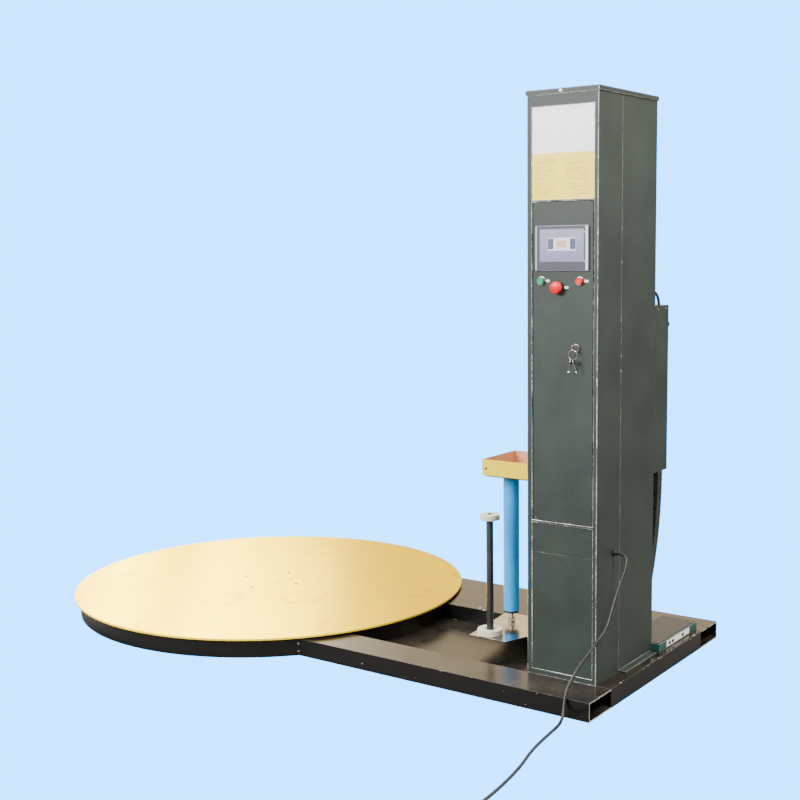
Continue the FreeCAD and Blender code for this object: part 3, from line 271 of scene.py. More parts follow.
# Two colours clouded into each other, with a fine grain in roughness and height.
tree, put, out = group("clouded_finish", [
    ("Position", "Vector", None), ("First colour", "Color", (0.5, 0.5, 0.5, 1)),
    ("Second colour", "Color", (0.4, 0.4, 0.4, 1)), ("Cloud size", "Float", 6.0),
    ("Grain size", "Float", 300.0), ("Speckle", "Float", 0.0), ("Roughness", "Float", 0.4),
    ("Spread", "Float", 0.1)],
    [("Colour", "Color"), ("Roughness", "Float"), ("Height", "Float")])
cloud = add(tree, "TexNoise", {"Vector": put["Position"], "Scale": put["Cloud size"], "Detail": 5.0,
                               "Roughness": 0.6})
grain = add(tree, "TexNoise", {"Vector": put["Position"], "Scale": put["Grain size"],
                               "Detail": 3.0})
spread = add(tree, "MapRange", {"Value": cloud.outputs["Fac"], "From Min": 0.3, "From Max": 0.7})
middle = add(tree, "Math", {0: grain.outputs["Fac"], 1: 0.5}, operation="SUBTRACT")
flecked = add(tree, "Math", {0: middle.outputs[0], 1: put["Speckle"], 2: spread.outputs["Result"]},
              operation="MULTIPLY_ADD", use_clamp=True)
mixed = add(tree, "Mix", {0: flecked.outputs[0], 6: put["First colour"], 7: put["Second colour"]},
            data_type="RGBA")
tree.links.new(mixed.outputs[2], out["Colour"])
both = add(tree, "Math", {0: cloud.outputs["Fac"], 1: grain.outputs["Fac"]}, operation="ADD")
centred = add(tree, "Math", {0: both.outputs[0], 1: 1.0}, operation="SUBTRACT")
rough = add(tree, "Math", {0: centred.outputs[0], 1: put["Spread"], 2: put["Roughness"]},
            operation="MULTIPLY_ADD", use_clamp=True)
tree.links.new(rough.outputs[0], out["Roughness"])
tree.links.new(grain.outputs["Fac"], out["Height"])

# Fine hairline scratches and rub marks, as a mask.
tree, put, out = group("scuffs", [
    ("Position", "Vector", None), ("Size", "Float", 20.0), ("Amount", "Float", 0.5)],
    [("Mask", "Float")])
warp = add(tree, "TexNoise", {"Vector": put["Position"], "Scale": put["Size"], "Detail": 2.0})
long_way = add(tree, "Mapping", {"Vector": put["Position"], "Scale": (1.0, 14.0, 9.0),
                                 "Rotation": (0.3, 0.5, 0.7)})
hair = add(tree, "TexNoise", {"Vector": long_way.outputs[0], "Scale": put["Size"], "Detail": 6.0,
                              "Roughness": 0.8})
thin = add(tree, "MapRange", {"Value": hair.outputs["Fac"], "From Min": 0.62, "From Max": 0.72})
where = add(tree, "MapRange", {"Value": warp.outputs["Fac"], "From Min": 0.45, "From Max": 0.65})
cover = product(tree, thin.outputs["Result"], where.outputs["Result"])
tree.links.new(product(tree, cover, put["Amount"], clamp=True), out["Mask"])

# Small chips where paint has come off, as a mask.
tree, put, out = group("paint_chips", [
    ("Position", "Vector", None), ("Size", "Float", 60.0), ("Amount", "Float", 0.1)],
    [("Mask", "Float")])
flake = add(tree, "TexNoise", {"Vector": put["Position"], "Scale": put["Size"], "Detail": 6.0,
                               "Roughness": 0.7})
bite = add(tree, "Math", {0: 0.75, 1: put["Amount"]}, operation="SUBTRACT")
inner = add(tree, "Math", {0: bite.outputs[0], 1: 0.03}, operation="ADD")
chip = add(tree, "MapRange", {"Value": flake.outputs["Fac"], "From Min": bite.outputs[0],
                              "From Max": inner.outputs[0]})
tree.links.new(chip.outputs["Result"], out["Mask"])

# Dust that settles on upward faces in soft patches, as a mask.
tree, put, out = group("settled_dust", [
    ("Position", "Vector", None), ("Normal", "Vector", None), ("Size", "Float", 4.0),
    ("Amount", "Float", 0.3)], [("Mask", "Float")])
split = add(tree, "SeparateXYZ", {0: put["Normal"]})
upward = add(tree, "MapRange", {"Value": split.outputs["Z"], "From Min": 0.4, "From Max": 0.95})
patch = add(tree, "TexNoise", {"Vector": put["Position"], "Scale": put["Size"], "Detail": 8.0,
                               "Roughness": 0.65})
patchy = add(tree, "MapRange", {"Value": patch.outputs["Fac"], "From Min": 0.35, "From Max": 0.7})
lying = product(tree, upward.outputs["Result"], patchy.outputs["Result"])
tree.links.new(product(tree, lying, put["Amount"], clamp=True), out["Mask"])


def laid_over(tree, mask, under, top):
    """A colour that covers another where the mask is white."""
    mix = add(tree, "Mix", {0: mask, 6: under, 7: colour(*top)}, data_type="RGBA")
    return mix.outputs[2]


def roughened(tree, mask, amount, under):
    """A roughness that rises by the amount where the mask is white."""
    raised = add(tree, "Math", {0: mask, 1: amount, 2: under}, operation="MULTIPLY_ADD",
                 use_clamp=True)
    return raised.outputs[0]


def finish_of(name, first, second, cloud, grain, roughness, spread, bump, depth,
              speckle=0.0, metallic=0.0, coat=0.0, specular=0.5,
              scuff=None, scuff_size=20, scuff_colour=(150, 146, 138),
              chip=None, chip_size=60, chip_colour=(205, 202, 194),
              dust=None, dust_size=4, dust_colour=(178, 172, 160)):
    """A clouded, grained finish with optional scuffs, chips and settled dust.

    Cloud and grain are how many patterns fit in a metre, spread is how far the roughness
    strays, and bump and depth are the grain's strength and height.
    """
    made = bpy.data.materials.new(name)
    made.use_nodes = True
    tree = made.node_tree
    shader = tree.nodes["Principled BSDF"]
    position = add(tree, "TexCoord").outputs["Object"]
    base = placed(tree, "clouded_finish", position=position, first_colour=colour(*first),
                  second_colour=colour(*second), cloud_size=float(cloud), grain_size=float(grain),
                  speckle=float(speckle), roughness=roughness, spread=spread)
    shown = base["Colour"]
    rough = base["Roughness"]
    if scuff:
        marks = placed(tree, "scuffs", position=position, size=float(scuff_size),
                       amount=scuff)["Mask"]
        shown = laid_over(tree, marks, shown, scuff_colour)
        rough = roughened(tree, marks, 0.35, rough)
    if chip:
        bare = placed(tree, "paint_chips", position=position, size=float(chip_size),
                      amount=chip)["Mask"]
        shown = laid_over(tree, bare, shown, chip_colour)
    if dust:
        normal = add(tree, "NewGeometry").outputs["Normal"]
        lying = placed(tree, "settled_dust", position=position, normal=normal,
                       size=float(dust_size), amount=dust)["Mask"]
        shown = laid_over(tree, lying, shown, dust_colour)
        rough = roughened(tree, lying, 0.5, rough)
    tree.links.new(shown, shader.inputs["Base Color"])
    tree.links.new(rough, shader.inputs["Roughness"])
    raised = add(tree, "Bump", {"Height": base["Height"], "Strength": bump, "Distance": depth})
    tree.links.new(raised.outputs[0], shader.inputs["Normal"])
    shader.inputs["Metallic"].default_value = metallic
    shader.inputs["Coat Weight"].default_value = coat
    shader.inputs["Coat Roughness"].default_value = 0.05
    shader.inputs["Specular IOR Level"].default_value = specular
    return made


cord_rubber = finish_of("cord_rubber", (26, 27, 28), (44, 45, 46),
                        cloud=40, grain=900, roughness=0.42, spread=0.2, bump=0.2, depth=0.0003)
moulded_black = finish_of("moulded_black", (24, 25, 27), (38, 39, 41),
                          cloud=25, grain=1200, roughness=0.45, spread=0.15, bump=0.15,
                          depth=0.0003)
pin_metal = finish_of("plug_pin_metal", (196, 190, 172), (170, 164, 148),
                      cloud=60, grain=500, roughness=0.25, spread=0.15, bump=0.03, depth=0.0002,
                      metallic=1.0)

# The lead's run from the gland to where the coil starts.
cord_points = [
    (1.764, -0.253, 0.489), (1.776, -0.253, 0.489), (1.789, -0.255, 0.487), (1.801, -0.260, 0.481),
    (1.809, -0.268, 0.469), (1.811, -0.277, 0.451), (1.808, -0.288, 0.427), (1.802, -0.304, 0.396),
    (1.798, -0.325, 0.358), (1.795, -0.343, 0.321), (1.791, -0.356, 0.286), (1.786, -0.374, 0.257),
    (1.777, -0.401, 0.236), (1.767, -0.424, 0.210), (1.755, -0.453, 0.183), (1.743, -0.479, 0.154),
    (1.732, -0.503, 0.121), (1.725, -0.521, 0.092), (1.724, -0.534, 0.062), (1.727, -0.544, 0.036),
    (1.731, -0.558, 0.017), (1.736, -0.579, 0.008), (1.742, -0.606, 0.005), (1.748, -0.648, 0.005),
    (1.756, -0.722, 0.005), (1.772, -0.830, 0.005), (1.803, -0.944, 0.005), (1.824, -1.071, 0.005),
    (1.836, -1.191, 0.005), (1.833, -1.276, 0.005), (1.831, -1.333, 0.005),
]
# The coil winds inwards on the floor, then outwards in a second layer on top. Each move
# gives the turns at which it starts and ends, and the radius and height it leads to.
coil_centre = (1.770, -1.360)
outer, middle, inner = 0.061, 0.051, 0.041
on_floor, on_first_layer = 0.005, 0.0152
coil_moves = [(0.75, 1.0, middle, on_floor), (1.75, 2.0, inner, on_floor),
              (2.5, 2.75, inner, on_first_layer), (3.25, 3.5, middle, on_first_layer),
              (4.25, 4.5, outer, on_first_layer)]
coil_turns = 5.2
points_per_turn = 16
for step in range(int(coil_turns * points_per_turn) + 1):
    turns = step / points_per_turn
    radius, height = outer, on_floor
    for start, end, next_radius, next_height in coil_moves:
        share = min(1, max(0, (turns - start) / (end - start)))
        share = share * share * (3 - 2 * share)
        radius += (next_radius - radius) * share
        height += (next_height - height) * share
    spread = radius / math.cos(math.pi / points_per_turn)
    cord_points.append((coil_centre[0] + spread * math.cos(2 * math.pi * turns),
                        coil_centre[1] - spread * math.sin(2 * math.pi * turns), height))
# The end slopes down into the plug's grip.
cord_points += [(1.747, -1.4165, 0.0145), (1.731, -1.4125, 0.012), (1.716, -1.412, 0.0112)]

cord_line = bpy.data.curves.new("supply_cord", "CURVE")
cord_line.dimensions = "3D"
cord_line.bevel_depth = 0.005
cord_line.bevel_resolution = 5
cord_line.resolution_u = 6
cord_line.use_fill_caps = True
spline = cord_line.splines.new("NURBS")
spline.points.add(len(cord_points) - 1)
for point, place in zip(spline.points, cord_points):
    point.co = (*place, 1)
spline.order_u = 3
spline.use_endpoint_u = True
supply_cord = bpy.data.objects.new("supply_cord", cord_line)
bpy.context.scene.collection.objects.link(supply_cord)
fit(supply_cord, "base", "cord", cord_rubber)
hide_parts("power_cord", "power_coil")

# The gland is a six-sided nylon nut and dome, with a tapered boot that keeps the lead from
# kinking.
gland_low, gland_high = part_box("cord_gland")
gland_y, gland_z = (gland_low.y + gland_high.y) / 2, (gland_low.z + gland_high.z) / 2
nut_end = gland_low.x + 0.0075
dome_end = nut_end + 0.006
gland_nut = rod("gland_nut", (gland_low.x, gland_y, gland_z), 0.0112, 0.0075, "x", 6)
gland_dome = rod("gland_dome", (nut_end, gland_y, gland_z), 0.0098, 0.006, "x", 24, tip=0.0082)
gland_boot = rod("gland_boot", (dome_end, gland_y - 0.0002, gland_z), 0.0078, 0.014, "x", 24,
                 tip=0.0059)
gland = joined("gland_made", rounded(gland_nut, 0.0008), rounded(gland_dome, 0.001),
               rounded(gland_boot, 0.0006))
fit(gland, "base", "black", moulded_black)
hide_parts("cord_gland")

# The plug is a moulded grip and head with three flat pins.
plug_low, plug_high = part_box("power_plug")
plug_y = (plug_low.y + plug_high.y) / 2
grip_start = plug_high.x - 0.028
plug_grip = box("plug_grip", (grip_start, plug_y - 0.015, 0), (plug_high.x, plug_y + 0.015, 0.022))
pick(plug_grip, lambda centre, normal: normal.x > 0.9)
bpy.ops.transform.resize(value=(1, 0.5, 0.6))
done_editing()
finish_with(plug_grip, "BEVEL", width=0.003, segments=3)
plug_ribs = []
for index in range(4):
    at = plug_high.x - 0.0075 - 0.005 * index
    rib = box("plug_rib", (at - 0.0011, plug_y - 0.0135, 0.003),
              (at + 0.0011, plug_y + 0.0135, 0.0195))
    plug_ribs.append(rounded(rib, 0.001))
plug_head = box("plug_head", (grip_start - 0.028, plug_y - 0.019, 0),
                (grip_start, plug_y + 0.019, 0.024))
rounded(plug_head, 0.004, 4)
plug_pins = []
for side in (-1, 0, 1):
    pin_y = plug_y + 0.010 * side
    pin = box("plug_pin", (plug_low.x, pin_y - 0.001, 0.009),
              (plug_low.x + 0.0185, pin_y + 0.001, 0.015))
    plug_pins.append(rounded(pin, 0.0004))
plug = fit(joined("plug_made", plug_head, plug_grip, *plug_ribs), "base", "black", moulded_black)
plug_blades = fit(joined("plug_blades", *plug_pins), "base", "zinc", pin_metal)
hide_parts("power_plug")
smoothed(plug)

# A strap of hook tape holds the coil's turns together.
coil_strap = box("coil_strap", (coil_centre[0] - 0.008, coil_centre[1] + 0.0335, 0.0002),
                 (coil_centre[0] + 0.008, coil_centre[1] + 0.0675, 0.0213))
pick(coil_strap, lambda centre, normal: abs(normal.x) > 0.9)
bpy.ops.mesh.delete(type="FACE")
done_editing()
finish_with(coil_strap, "BEVEL", width=0.005, segments=4, limit_method="ANGLE")
finish_with(coil_strap, "SOLIDIFY", thickness=0.0011, offset=-1)
rounded(coil_strap, 0.0003, 1)
fit(coil_strap, "base", "black", moulded_black)

# ------------------------------------------------------------------ floor and studio light
# A grey floor in a pale room with a warm band above the horizon and a bright striped screen
# at the far left, so that gloss paint has something to mirror. Both look plain blue to the
# camera, like a paper backdrop that sweeps under the machine, and light nothing blue.
bpy.ops.mesh.primitive_circle_add(vertices=64, radius=60, fill_type="NGON",
                                  location=(0, 0, -0.0004))
floor = named("floor")
floor_paint = bpy.data.materials.new("floor_paint")
floor_paint.use_nodes = True
tree = floor_paint.node_tree
floor_shader = tree.nodes["Principled BSDF"]
floor_shader.inputs["Base Color"].default_value = (0.16, 0.155, 0.15, 1)
floor_shader.inputs["Roughness"].default_value = 0.9
floor_shader.inputs["Specular IOR Level"].default_value = 0.1
backdrop_blue = (0.16, 3.3, 9.3, 1)
glow = add(tree, "Emission", {"Color": backdrop_blue})
seen = add(tree, "LightPath").outputs["Is Camera Ray"]
shown = add(tree, "MixShader", {0: seen, 1: floor_shader.outputs[0], 2: glow.outputs[0]})
tree.links.new(shown.outputs[0], tree.nodes["Material Output"].inputs["Surface"])
dress(floor, floor_paint)

studio = bpy.data.worlds.new("studio")
bpy.context.scene.world = studio
studio.use_nodes = True
tree = studio.node_tree
tree.nodes.clear()
way = add(tree, "TexCoord").outputs["Generated"]
height = add(tree, "SeparateXYZ", {0: way}).outputs["Z"]
sky = add(tree, "ValToRGB", {"Fac": height})
bands = sky.color_ramp.elements
bands[0].position, bands[0].color = 0.0, (0.8, 0.8, 0.8, 1)
bands[1].position, bands[1].color = 0.17, (0.8, 0.8, 0.8, 1)
for place, tone in ((0.2, (2.1, 1.55, 0.86)), (0.4, (1.8, 1.4, 0.86)),
                    (0.6, (0.7, 0.68, 0.64)), (1.0, (0.8, 0.8, 0.82))):
    band = bands.new(place)
    band.color = (*tone, 1)
screen_way = Vector((-0.80, 0.50, 0.33)).normalized()
toward = add(tree, "VectorMath", {0: way, 1: screen_way}, operation="DOT_PRODUCT")
screen_glow = add(tree, "MapRange", {"Value": toward.outputs["Value"], "From Min": 0.93,
                                     "From Max": 0.995, "To Min": 0.0, "To Max": 14.0},
                  interpolation_type="SMOOTHSTEP")
above = add(tree, "MapRange", {"Value": height, "From Min": 0.15, "From Max": 0.19})
screen_seen = product(tree, screen_glow.outputs["Result"], above.outputs["Result"])
across = add(tree, "SeparateXYZ", {0: way}).outputs["X"]
pillars = add(tree, "TexNoise", {"W": across, "Scale": 11.0, "Detail": 2.0}, noise_dimensions="1D")
shade = add(tree, "MapRange", {"Value": pillars.outputs["Fac"], "From Min": 0.42, "From Max": 0.52,
                               "To Min": 0.35, "To Max": 1.0})
striped = product(tree, screen_seen, shade.outputs["Result"])
plain_sky = add(tree, "Background", {"Color": sky.outputs["Color"], "Strength": 1.0})
screen_light = add(tree, "Background", {"Color": (1, 0.9, 0.7, 1), "Strength": striped})
all_light = add(tree, "AddShader", {0: plain_sky.outputs[0], 1: screen_light.outputs[0]})
backdrop = add(tree, "Background", {"Color": backdrop_blue})
seen = add(tree, "LightPath").outputs["Is Camera Ray"]
shown = add(tree, "MixShader", {0: seen, 1: all_light.outputs[0], 2: backdrop.outputs[0]})
add(tree, "OutputWorld", {"Surface": shown.outputs[0]})


def soft_lamp(name, place, target, size, power, tint=(1, 1, 1)):
    """A rectangular lamp that faces its target, with its power in watts."""
    bpy.ops.object.light_add(type="AREA", location=place)
    lamp = bpy.context.object
    lamp.name = name
    lamp.data.shape = "RECTANGLE"
    lamp.data.size, lamp.data.size_y = size
    lamp.data.energy = power
    lamp.data.color = tint
    lamp.rotation_euler = (Vector(target) - Vector(place)).to_track_quat("-Z", "Y").to_euler()


soft_lamp("lamp_front", (-0.6, -5.2, 3.4), (1.0, 0, 1.0), (3.0, 2.4), 600)
soft_lamp("lamp_top", (0.3, 0.3, 4.6), (0.3, 0, 0), (4.0, 3.0), 200)
soft_lamp("lamp_right", (4.0, -0.7, 4.4), (1.7, 0, 2.0), (1.2, 1.2), 330, (1, 0.98, 0.94))

# ------------------------------------------------------------------ base frame
# Two C channels, an end plate, a floor pan and two folded deck plates, welded into one
# low frame and sprayed in thick gloss black enamel that is chipped along its edges.
base_enamel = finish_of("base_enamel", (13, 13, 14), (20, 19, 18),
                        cloud=3, grain=120, roughness=0.2, spread=0.1, bump=0.03, depth=0.0008,
                        specular=0.35,
                        scuff=0.3, scuff_size=5, scuff_colour=(96, 88, 76),
                        chip=0.06, chip_size=45,
                        dust=0.16, dust_size=6, dust_colour=(120, 106, 84))
worn_edge = finish_of("worn_black_edge", (18, 18, 18), (52, 49, 44),
                      cloud=9, grain=260, roughness=0.35, spread=0.2, bump=0.1, depth=0.0005,
                      chip=0.15, chip_size=30)
bare_cut = finish_of("bare_cut_edge", (214, 212, 204), (120, 116, 108),
                     cloud=40, grain=300, roughness=0.4, spread=0.15, bump=0.15, depth=0.0004,
                     chip=0.2, chip_size=60, chip_colour=(60, 56, 52))
for node in ("base_front_channel", "base_rear_channel", "base_end_crossmember", "base_floor_pan",
             "base_rear_deck", "base_mast_deck"):
    piece = softened(node, "base", 0.0016, base_enamel, worn_edge)
    if node.endswith("channel"):
        # The channels' sawn ends and the chamfer under their front edge have lost their paint.
        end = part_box(node)[1].x
        piece.data.materials.append(bare_cut)
        for face in piece.data.polygons:
            cut_face = face.normal.x > 0.9 and face.center.x > end - 0.001
            if cut_face or (face.normal.y < -0.3 and face.normal.z < -0.3):
                face.material_index = 2

bright_zinc = finish_of("bright_zinc", (198, 198, 192), (168, 168, 160),
                        cloud=50, grain=700, roughness=0.28, spread=0.15, bump=0.06, depth=0.0003,
                        metallic=1.0,
                        scuff=0.3, scuff_size=60)


def sunk(piece, test, rim, *move):
    """Leaves a rim round the faces that pass the test and moves what is inside it."""
    pick(piece, test)
    bpy.ops.mesh.inset(thickness=rim)
    bpy.ops.mesh.extrude_region_move(TRANSFORM_OT_translate={"value": move})
    done_editing()
    return piece


def screw(name, foot, axis, radius, proud, socket=True):
    """A pan-head machine screw whose head stands off a face along an axis, with a round socket."""
    sign = -1 if axis.startswith("-") else 1
    axis = axis.strip("-")
    across = "xyz".index(axis)
    outward = [sign * (i == across) for i in range(3)]
    head = rod(name, foot, radius, proud, axis, 20)
    if sign < 0:
        bpy.ops.transform.translate(value=[proud * part for part in outward])
        seated(head)
    if socket:
        sunk(head, lambda centre, normal: normal[across] * sign > 0.9, radius * 0.5,
             *[-proud * 0.5 * part for part in outward])
    return rounded(head, min(radius, proud) * 0.25)


deck_low, deck_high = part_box("base_rear_deck")
deck_screws = [screw("deck_screw", (x, deck_low.y + 0.013, deck_high.z - 0.0005), "z",
                     0.0055, 0.003) for x in (0.96, 1.30, 1.78)]
end_low, end_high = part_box("base_end_crossmember")
deck_screws += [screw("deck_screw", (end_low.x + 0.0025, y, end_high.z - 0.0005), "z",
                      0.0045, 0.0025) for y in (-0.30, 0.0, 0.30)]
fit(joined("deck_screws", *deck_screws), "base", "zinc", bright_zinc)

# ------------------------------------------------------------------ turntable
# A rolled steel skirt round six arms carries the support wheels. The round plate on top is
# sprayed in glossy golden yellow, wiped clean, and held by four black countersunk screws.
softened("turntable_skirt", "base", 0.0012, base_enamel, worn_edge)
dress(frame["nodes"]["turntable_spider"], base_enamel)

# Faint rings and smears that a wiping cloth has left on gloss paint, as a mask.
tree, put, out = group("wiping_marks", [
    ("Position", "Vector", None), ("Size", "Float", 2.0), ("Amount", "Float", 0.5)],
    [("Mask", "Float")])
wobble = add(tree, "TexNoise", {"Vector": put["Position"], "Scale": 3.0, "Detail": 2.0})
shift = add(tree, "VectorMath", {0: wobble.outputs["Color"], 3: 0.25}, operation="SCALE")
moved = add(tree, "VectorMath", {0: put["Position"], 1: shift.outputs[0]}, operation="ADD")
cells = add(tree, "TexVoronoi", {"Vector": moved.outputs[0], "Scale": put["Size"],
                                 "Randomness": 1.0}, voronoi_dimensions="2D")
distance = cells.outputs["Distance"]
rise = add(tree, "MapRange", {"Value": distance, "From Min": 0.24, "From Max": 0.3},
           interpolation_type="SMOOTHSTEP")
fall = add(tree, "MapRange", {"Value": distance, "From Min": 0.3, "From Max": 0.38,
                              "To Min": 1.0, "To Max": 0.0}, interpolation_type="SMOOTHSTEP")
hoop = product(tree, rise.outputs["Result"], fall.outputs["Result"])
chosen = add(tree, "SeparateXYZ", {0: cells.outputs["Color"]})
kept = add(tree, "Math", {0: chosen.outputs["X"], 1: 0.55}, operation="GREATER_THAN")
rare = product(tree, hoop, kept.outputs[0])
tree.links.new(product(tree, rare, put["Amount"]), out["Mask"])

golden_gloss = finish_of("golden_gloss", (255, 238, 0), (255, 226, 0),
                         cloud=2, grain=90, roughness=0.16, spread=0.06, bump=0.015, depth=0.0008,
                         metallic=0.95,
                         scuff=0.25, scuff_size=4, scuff_colour=(240, 190, 20))
tree = golden_gloss.node_tree
shader = tree.nodes["Principled BSDF"]
shader.inputs["Specular Tint"].default_value = (1.0, 0.86, 0.3, 1)
marks = placed(tree, "wiping_marks", position=add(tree, "TexCoord").outputs["Object"],
               amount=0.3, size=3.6)["Mask"]
clean = shader.inputs["Base Color"].links[0].from_socket
tree.links.new(laid_over(tree, marks, clean, (224, 160, 30)), shader.inputs["Base Color"])
clean = shader.inputs["Roughness"].links[0].from_socket
tree.links.new(roughened(tree, marks, 0.2, clean), shader.inputs["Roughness"])
rim_yellow = finish_of("rim_yellow", (255, 222, 0), (250, 206, 4),
                       cloud=12, grain=300, roughness=0.3, spread=0.15, bump=0.05, depth=0.0004,
                       coat=0.4,
                       chip=0.05, chip_size=50)
disc_low, disc_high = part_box("turntable_disc")
disc_radius = disc_high.x
centre_radius = 0.16
disc = rod("disc_plate", (0, 0, disc_low.z), disc_radius, disc_high.z - disc_low.z, "z", 288)
pick(disc, lambda centre, normal: normal.z > 0.9)
bpy.ops.mesh.inset(thickness=disc_radius - centre_radius)
done_editing()
rounded(disc, 0.0016, 3)
fit(disc, "turntable", "deck", golden_gloss, rim_yellow)
for face in disc.data.polygons:
    face.material_index = 1 if abs(face.normal.z) < 0.8 else 0
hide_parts("turntable_disc")

black_steel = finish_of("blackened_steel", (16, 15, 14), (30, 28, 26),
                        cloud=40, grain=500, roughness=0.75, spread=0.1, bump=0.1, depth=0.0003,
                        specular=0.15)
screw_circle = 0.133
disc_screws = []
for index in range(4):
    around = math.radians(5 + 90 * index)
    foot = (screw_circle * math.cos(around), screw_circle * math.sin(around), disc_high.z - 0.0125)
    one = rod("disc_screw", foot, 0.00595, 0.0137, "z", 24)
    sunk(one, lambda centre, normal: normal.z > 0.9, 0.0025, 0, 0, -0.003)
    disc_screws.append(rounded(one, 0.0004))
disc_screws = fit(joined("disc_screws", *disc_screws), "turntable", "zinc", black_steel)
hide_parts("turntable_screws")

# Where the skirt meets the front channel a short riveted strap covers the joint. The strap and
# its rivets are made at +X and swung round the turntable's centre to the place of the joint.
skirt_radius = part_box("turntable_skirt")[1].x
seam_angle = math.atan2(-0.527, 0.603)
seam_strap = box("skirt_strap", (skirt_radius - 0.0005, -0.011, 0.004),
                 (skirt_radius + 0.0022, 0.011, 0.062))
rounded(seam_strap, 0.0008)
rivets = [screw("skirt_rivet", (skirt_radius + 0.0018, 0, z), "x", 0.0042, 0.0028, socket=False)
          for z in (0.018, 0.047)]
for piece in (seam_strap, *rivets):
    alone(piece)
    bpy.ops.transform.rotate(value=-seam_angle, orient_axis="Z", center_override=(0, 0, 0))
    seated(piece)
fit(seam_strap, "base", "base", base_enamel)
fit(joined("skirt_rivets", *rivets), "base", "zinc", bright_zinc)

# ------------------------------------------------------------------ support wheels and drive
# Nylon wheels turn on plated axles between welded cheeks. A geared motor with a small
# sprocket drives the hub's large cut sprocket through a roller chain.
nylon = finish_of("cream_nylon", (214, 211, 200), (196, 190, 176),
                  cloud=30, grain=600, roughness=0.45, spread=0.1, bump=0.08, depth=0.0003,
                  scuff=0.5, scuff_size=40, scuff_colour=(120, 112, 100))
for index in range(6):
    softened("support_wheel_%d" % (index + 1), "tyre", 0.0018, nylon)
softened("wheel_brackets", "zinc", 0.0012, bright_zinc)
cut_steel = finish_of("oiled_cut_steel", (126, 124, 120), (92, 90, 86),
                      cloud=25, grain=500, roughness=0.35, spread=0.2, bump=0.08, depth=0.0003,
                      metallic=0.9,
                      scuff=0.4, scuff_size=30)
hub = softened("turntable_hub", "steel", 0.0006, cut_steel)
# The spindle turns in the spider's bore, so its faceted sides are drawn in a little.
spindle_reach = 0.031
hub_flange_bottom = 0.058
pick(hub, lambda centre, normal: centre.z < hub_flange_bottom
     and math.hypot(centre.x, centre.y) < spindle_reach)
bpy.ops.transform.resize(value=(0.98, 0.98, 1), center_override=(0, 0, 0))
done_editing()
softened("drive_pinion", "steel", 0.0005, cut_steel)

# The chain's small plates and rollers are a dark and light speckle in its finish.
chain_steel = finish_of("chain_steel", (104, 102, 98), (64, 62, 60),
                        cloud=80, grain=160, roughness=0.4, spread=0.25, bump=0.5, depth=0.0015,
                        metallic=0.8, speckle=1.2)
softened("drive_chain", "steel", 0.0008, chain_steel)
motor_grey = finish_of("motor_casting", (92, 98, 104), (78, 84, 90),
                       cloud=15, grain=260, roughness=0.5, spread=0.1, bump=0.3, depth=0.0006,
                       scuff=0.2)
softened("turntable_gearmotor", "cast", 0.003, motor_grey)

# ------------------------------------------------------------------ mast
# A welded cabinet in front of a taller lift column of 3 mm sheet, under one flat cap.
# Everything is sprayed in dark grey-green hammertone. The folded edges are paler, partly rubbed and
# chipped paint and partly a painted highlight.
hammertone = finish_of("green_hammertone", (31, 42, 40), (44, 57, 54),
                       cloud=5, grain=240, roughness=0.5, spread=0.12, bump=0.35, depth=0.0006,
                       speckle=1.6, specular=0.4)
# Paler edge finish: partly rubbed and chipped paint, partly a painted highlight where the folded
# edges catch the light.
rubbed_and_highlit_edge = finish_of("rubbed_and_highlit_green_edge", (54, 66, 63), (132, 140, 133),
                        cloud=14, grain=300, roughness=0.4, spread=0.15, bump=0.2, depth=0.0004,
                        speckle=1.2,
                        chip=0.14, chip_colour=(226, 230, 222))
# A brighter edge finish for the front frame and the door: partly worn paint, partly a painted
# highlight.
worn_and_highlit_edge = finish_of("worn_and_highlit_green_edge", (84, 96, 91), (216, 220, 212),
                          cloud=9, grain=120, roughness=0.3, spread=0.15, bump=0.2, depth=0.0004,
                          speckle=1.2,
                          chip=0.2, chip_colour=(250, 252, 246))
for node, width, edge in (("mast_cabinet", 0.0008, rubbed_and_highlit_edge),
                          ("mast_front_frame", 0.0013, worn_and_highlit_edge),
                          ("mast_column", 0.0014, rubbed_and_highlit_edge),
                          ("mast_cap", 0.002, rubbed_and_highlit_edge),
                          ("mast_panels", 0.0006, rubbed_and_highlit_edge)):
    softened(node, "green", width, hammertone, edge)

# A small white plug fills the hole in the cap's front edge, and a dark one the lower panel's.
white_plastic = finish_of("white_plastic", (238, 236, 230), (228, 225, 216),
                          cloud=20, grain=400, roughness=0.35, spread=0.1, bump=0.05, depth=0.0003,
                          scuff=0.2, scuff_size=30, scuff_colour=(186, 180, 168))
cap_low, cap_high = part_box("mast_cap")
cap_plug = screw("cap_plug", (1.6205, cap_low.y + 0.0005, (cap_low.z + cap_high.z) / 2), "-y",
                 0.0055, 0.0022, socket=False)
fit(cap_plug, "base", "white", white_plastic)
panel_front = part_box("mast_panels")[0].y


def faces_front(centre, normal):
    """A test for the faces that look out of the mast's front."""
    return normal.y < -0.9


hole_plug = rod("panel_hole_plug", (1.621, panel_front - 0.0006, 0.468), 0.0042, 0.001, "y", 24)
sunk(hole_plug, faces_front, 0.0012, 0, 0.0007, 0)
fit(hole_plug, "base", "black", moulded_black)

# ------------------------------------------------------------------ label plates
# Two printed plates fill the window over the door: a plain white one on top, and under it
# a pale yellow instruction plate with columns of small orange print that only looks like text.
plate_white = finish_of("plate_white", (252, 253, 255), (246, 249, 254),
                        cloud=8, grain=200, roughness=0.3, spread=0.05, bump=0.02, depth=0.0003)
print_yellow = finish_of("plate_print", (255, 236, 60), (255, 226, 44),
                         cloud=10, grain=300, roughness=0.4, spread=0.05, bump=0.03, depth=0.0003)
tree = print_yellow.node_tree
shader = tree.nodes["Principled BSDF"]
plate_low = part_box("mast_label_plates")[0]
yellow_height = 0.147
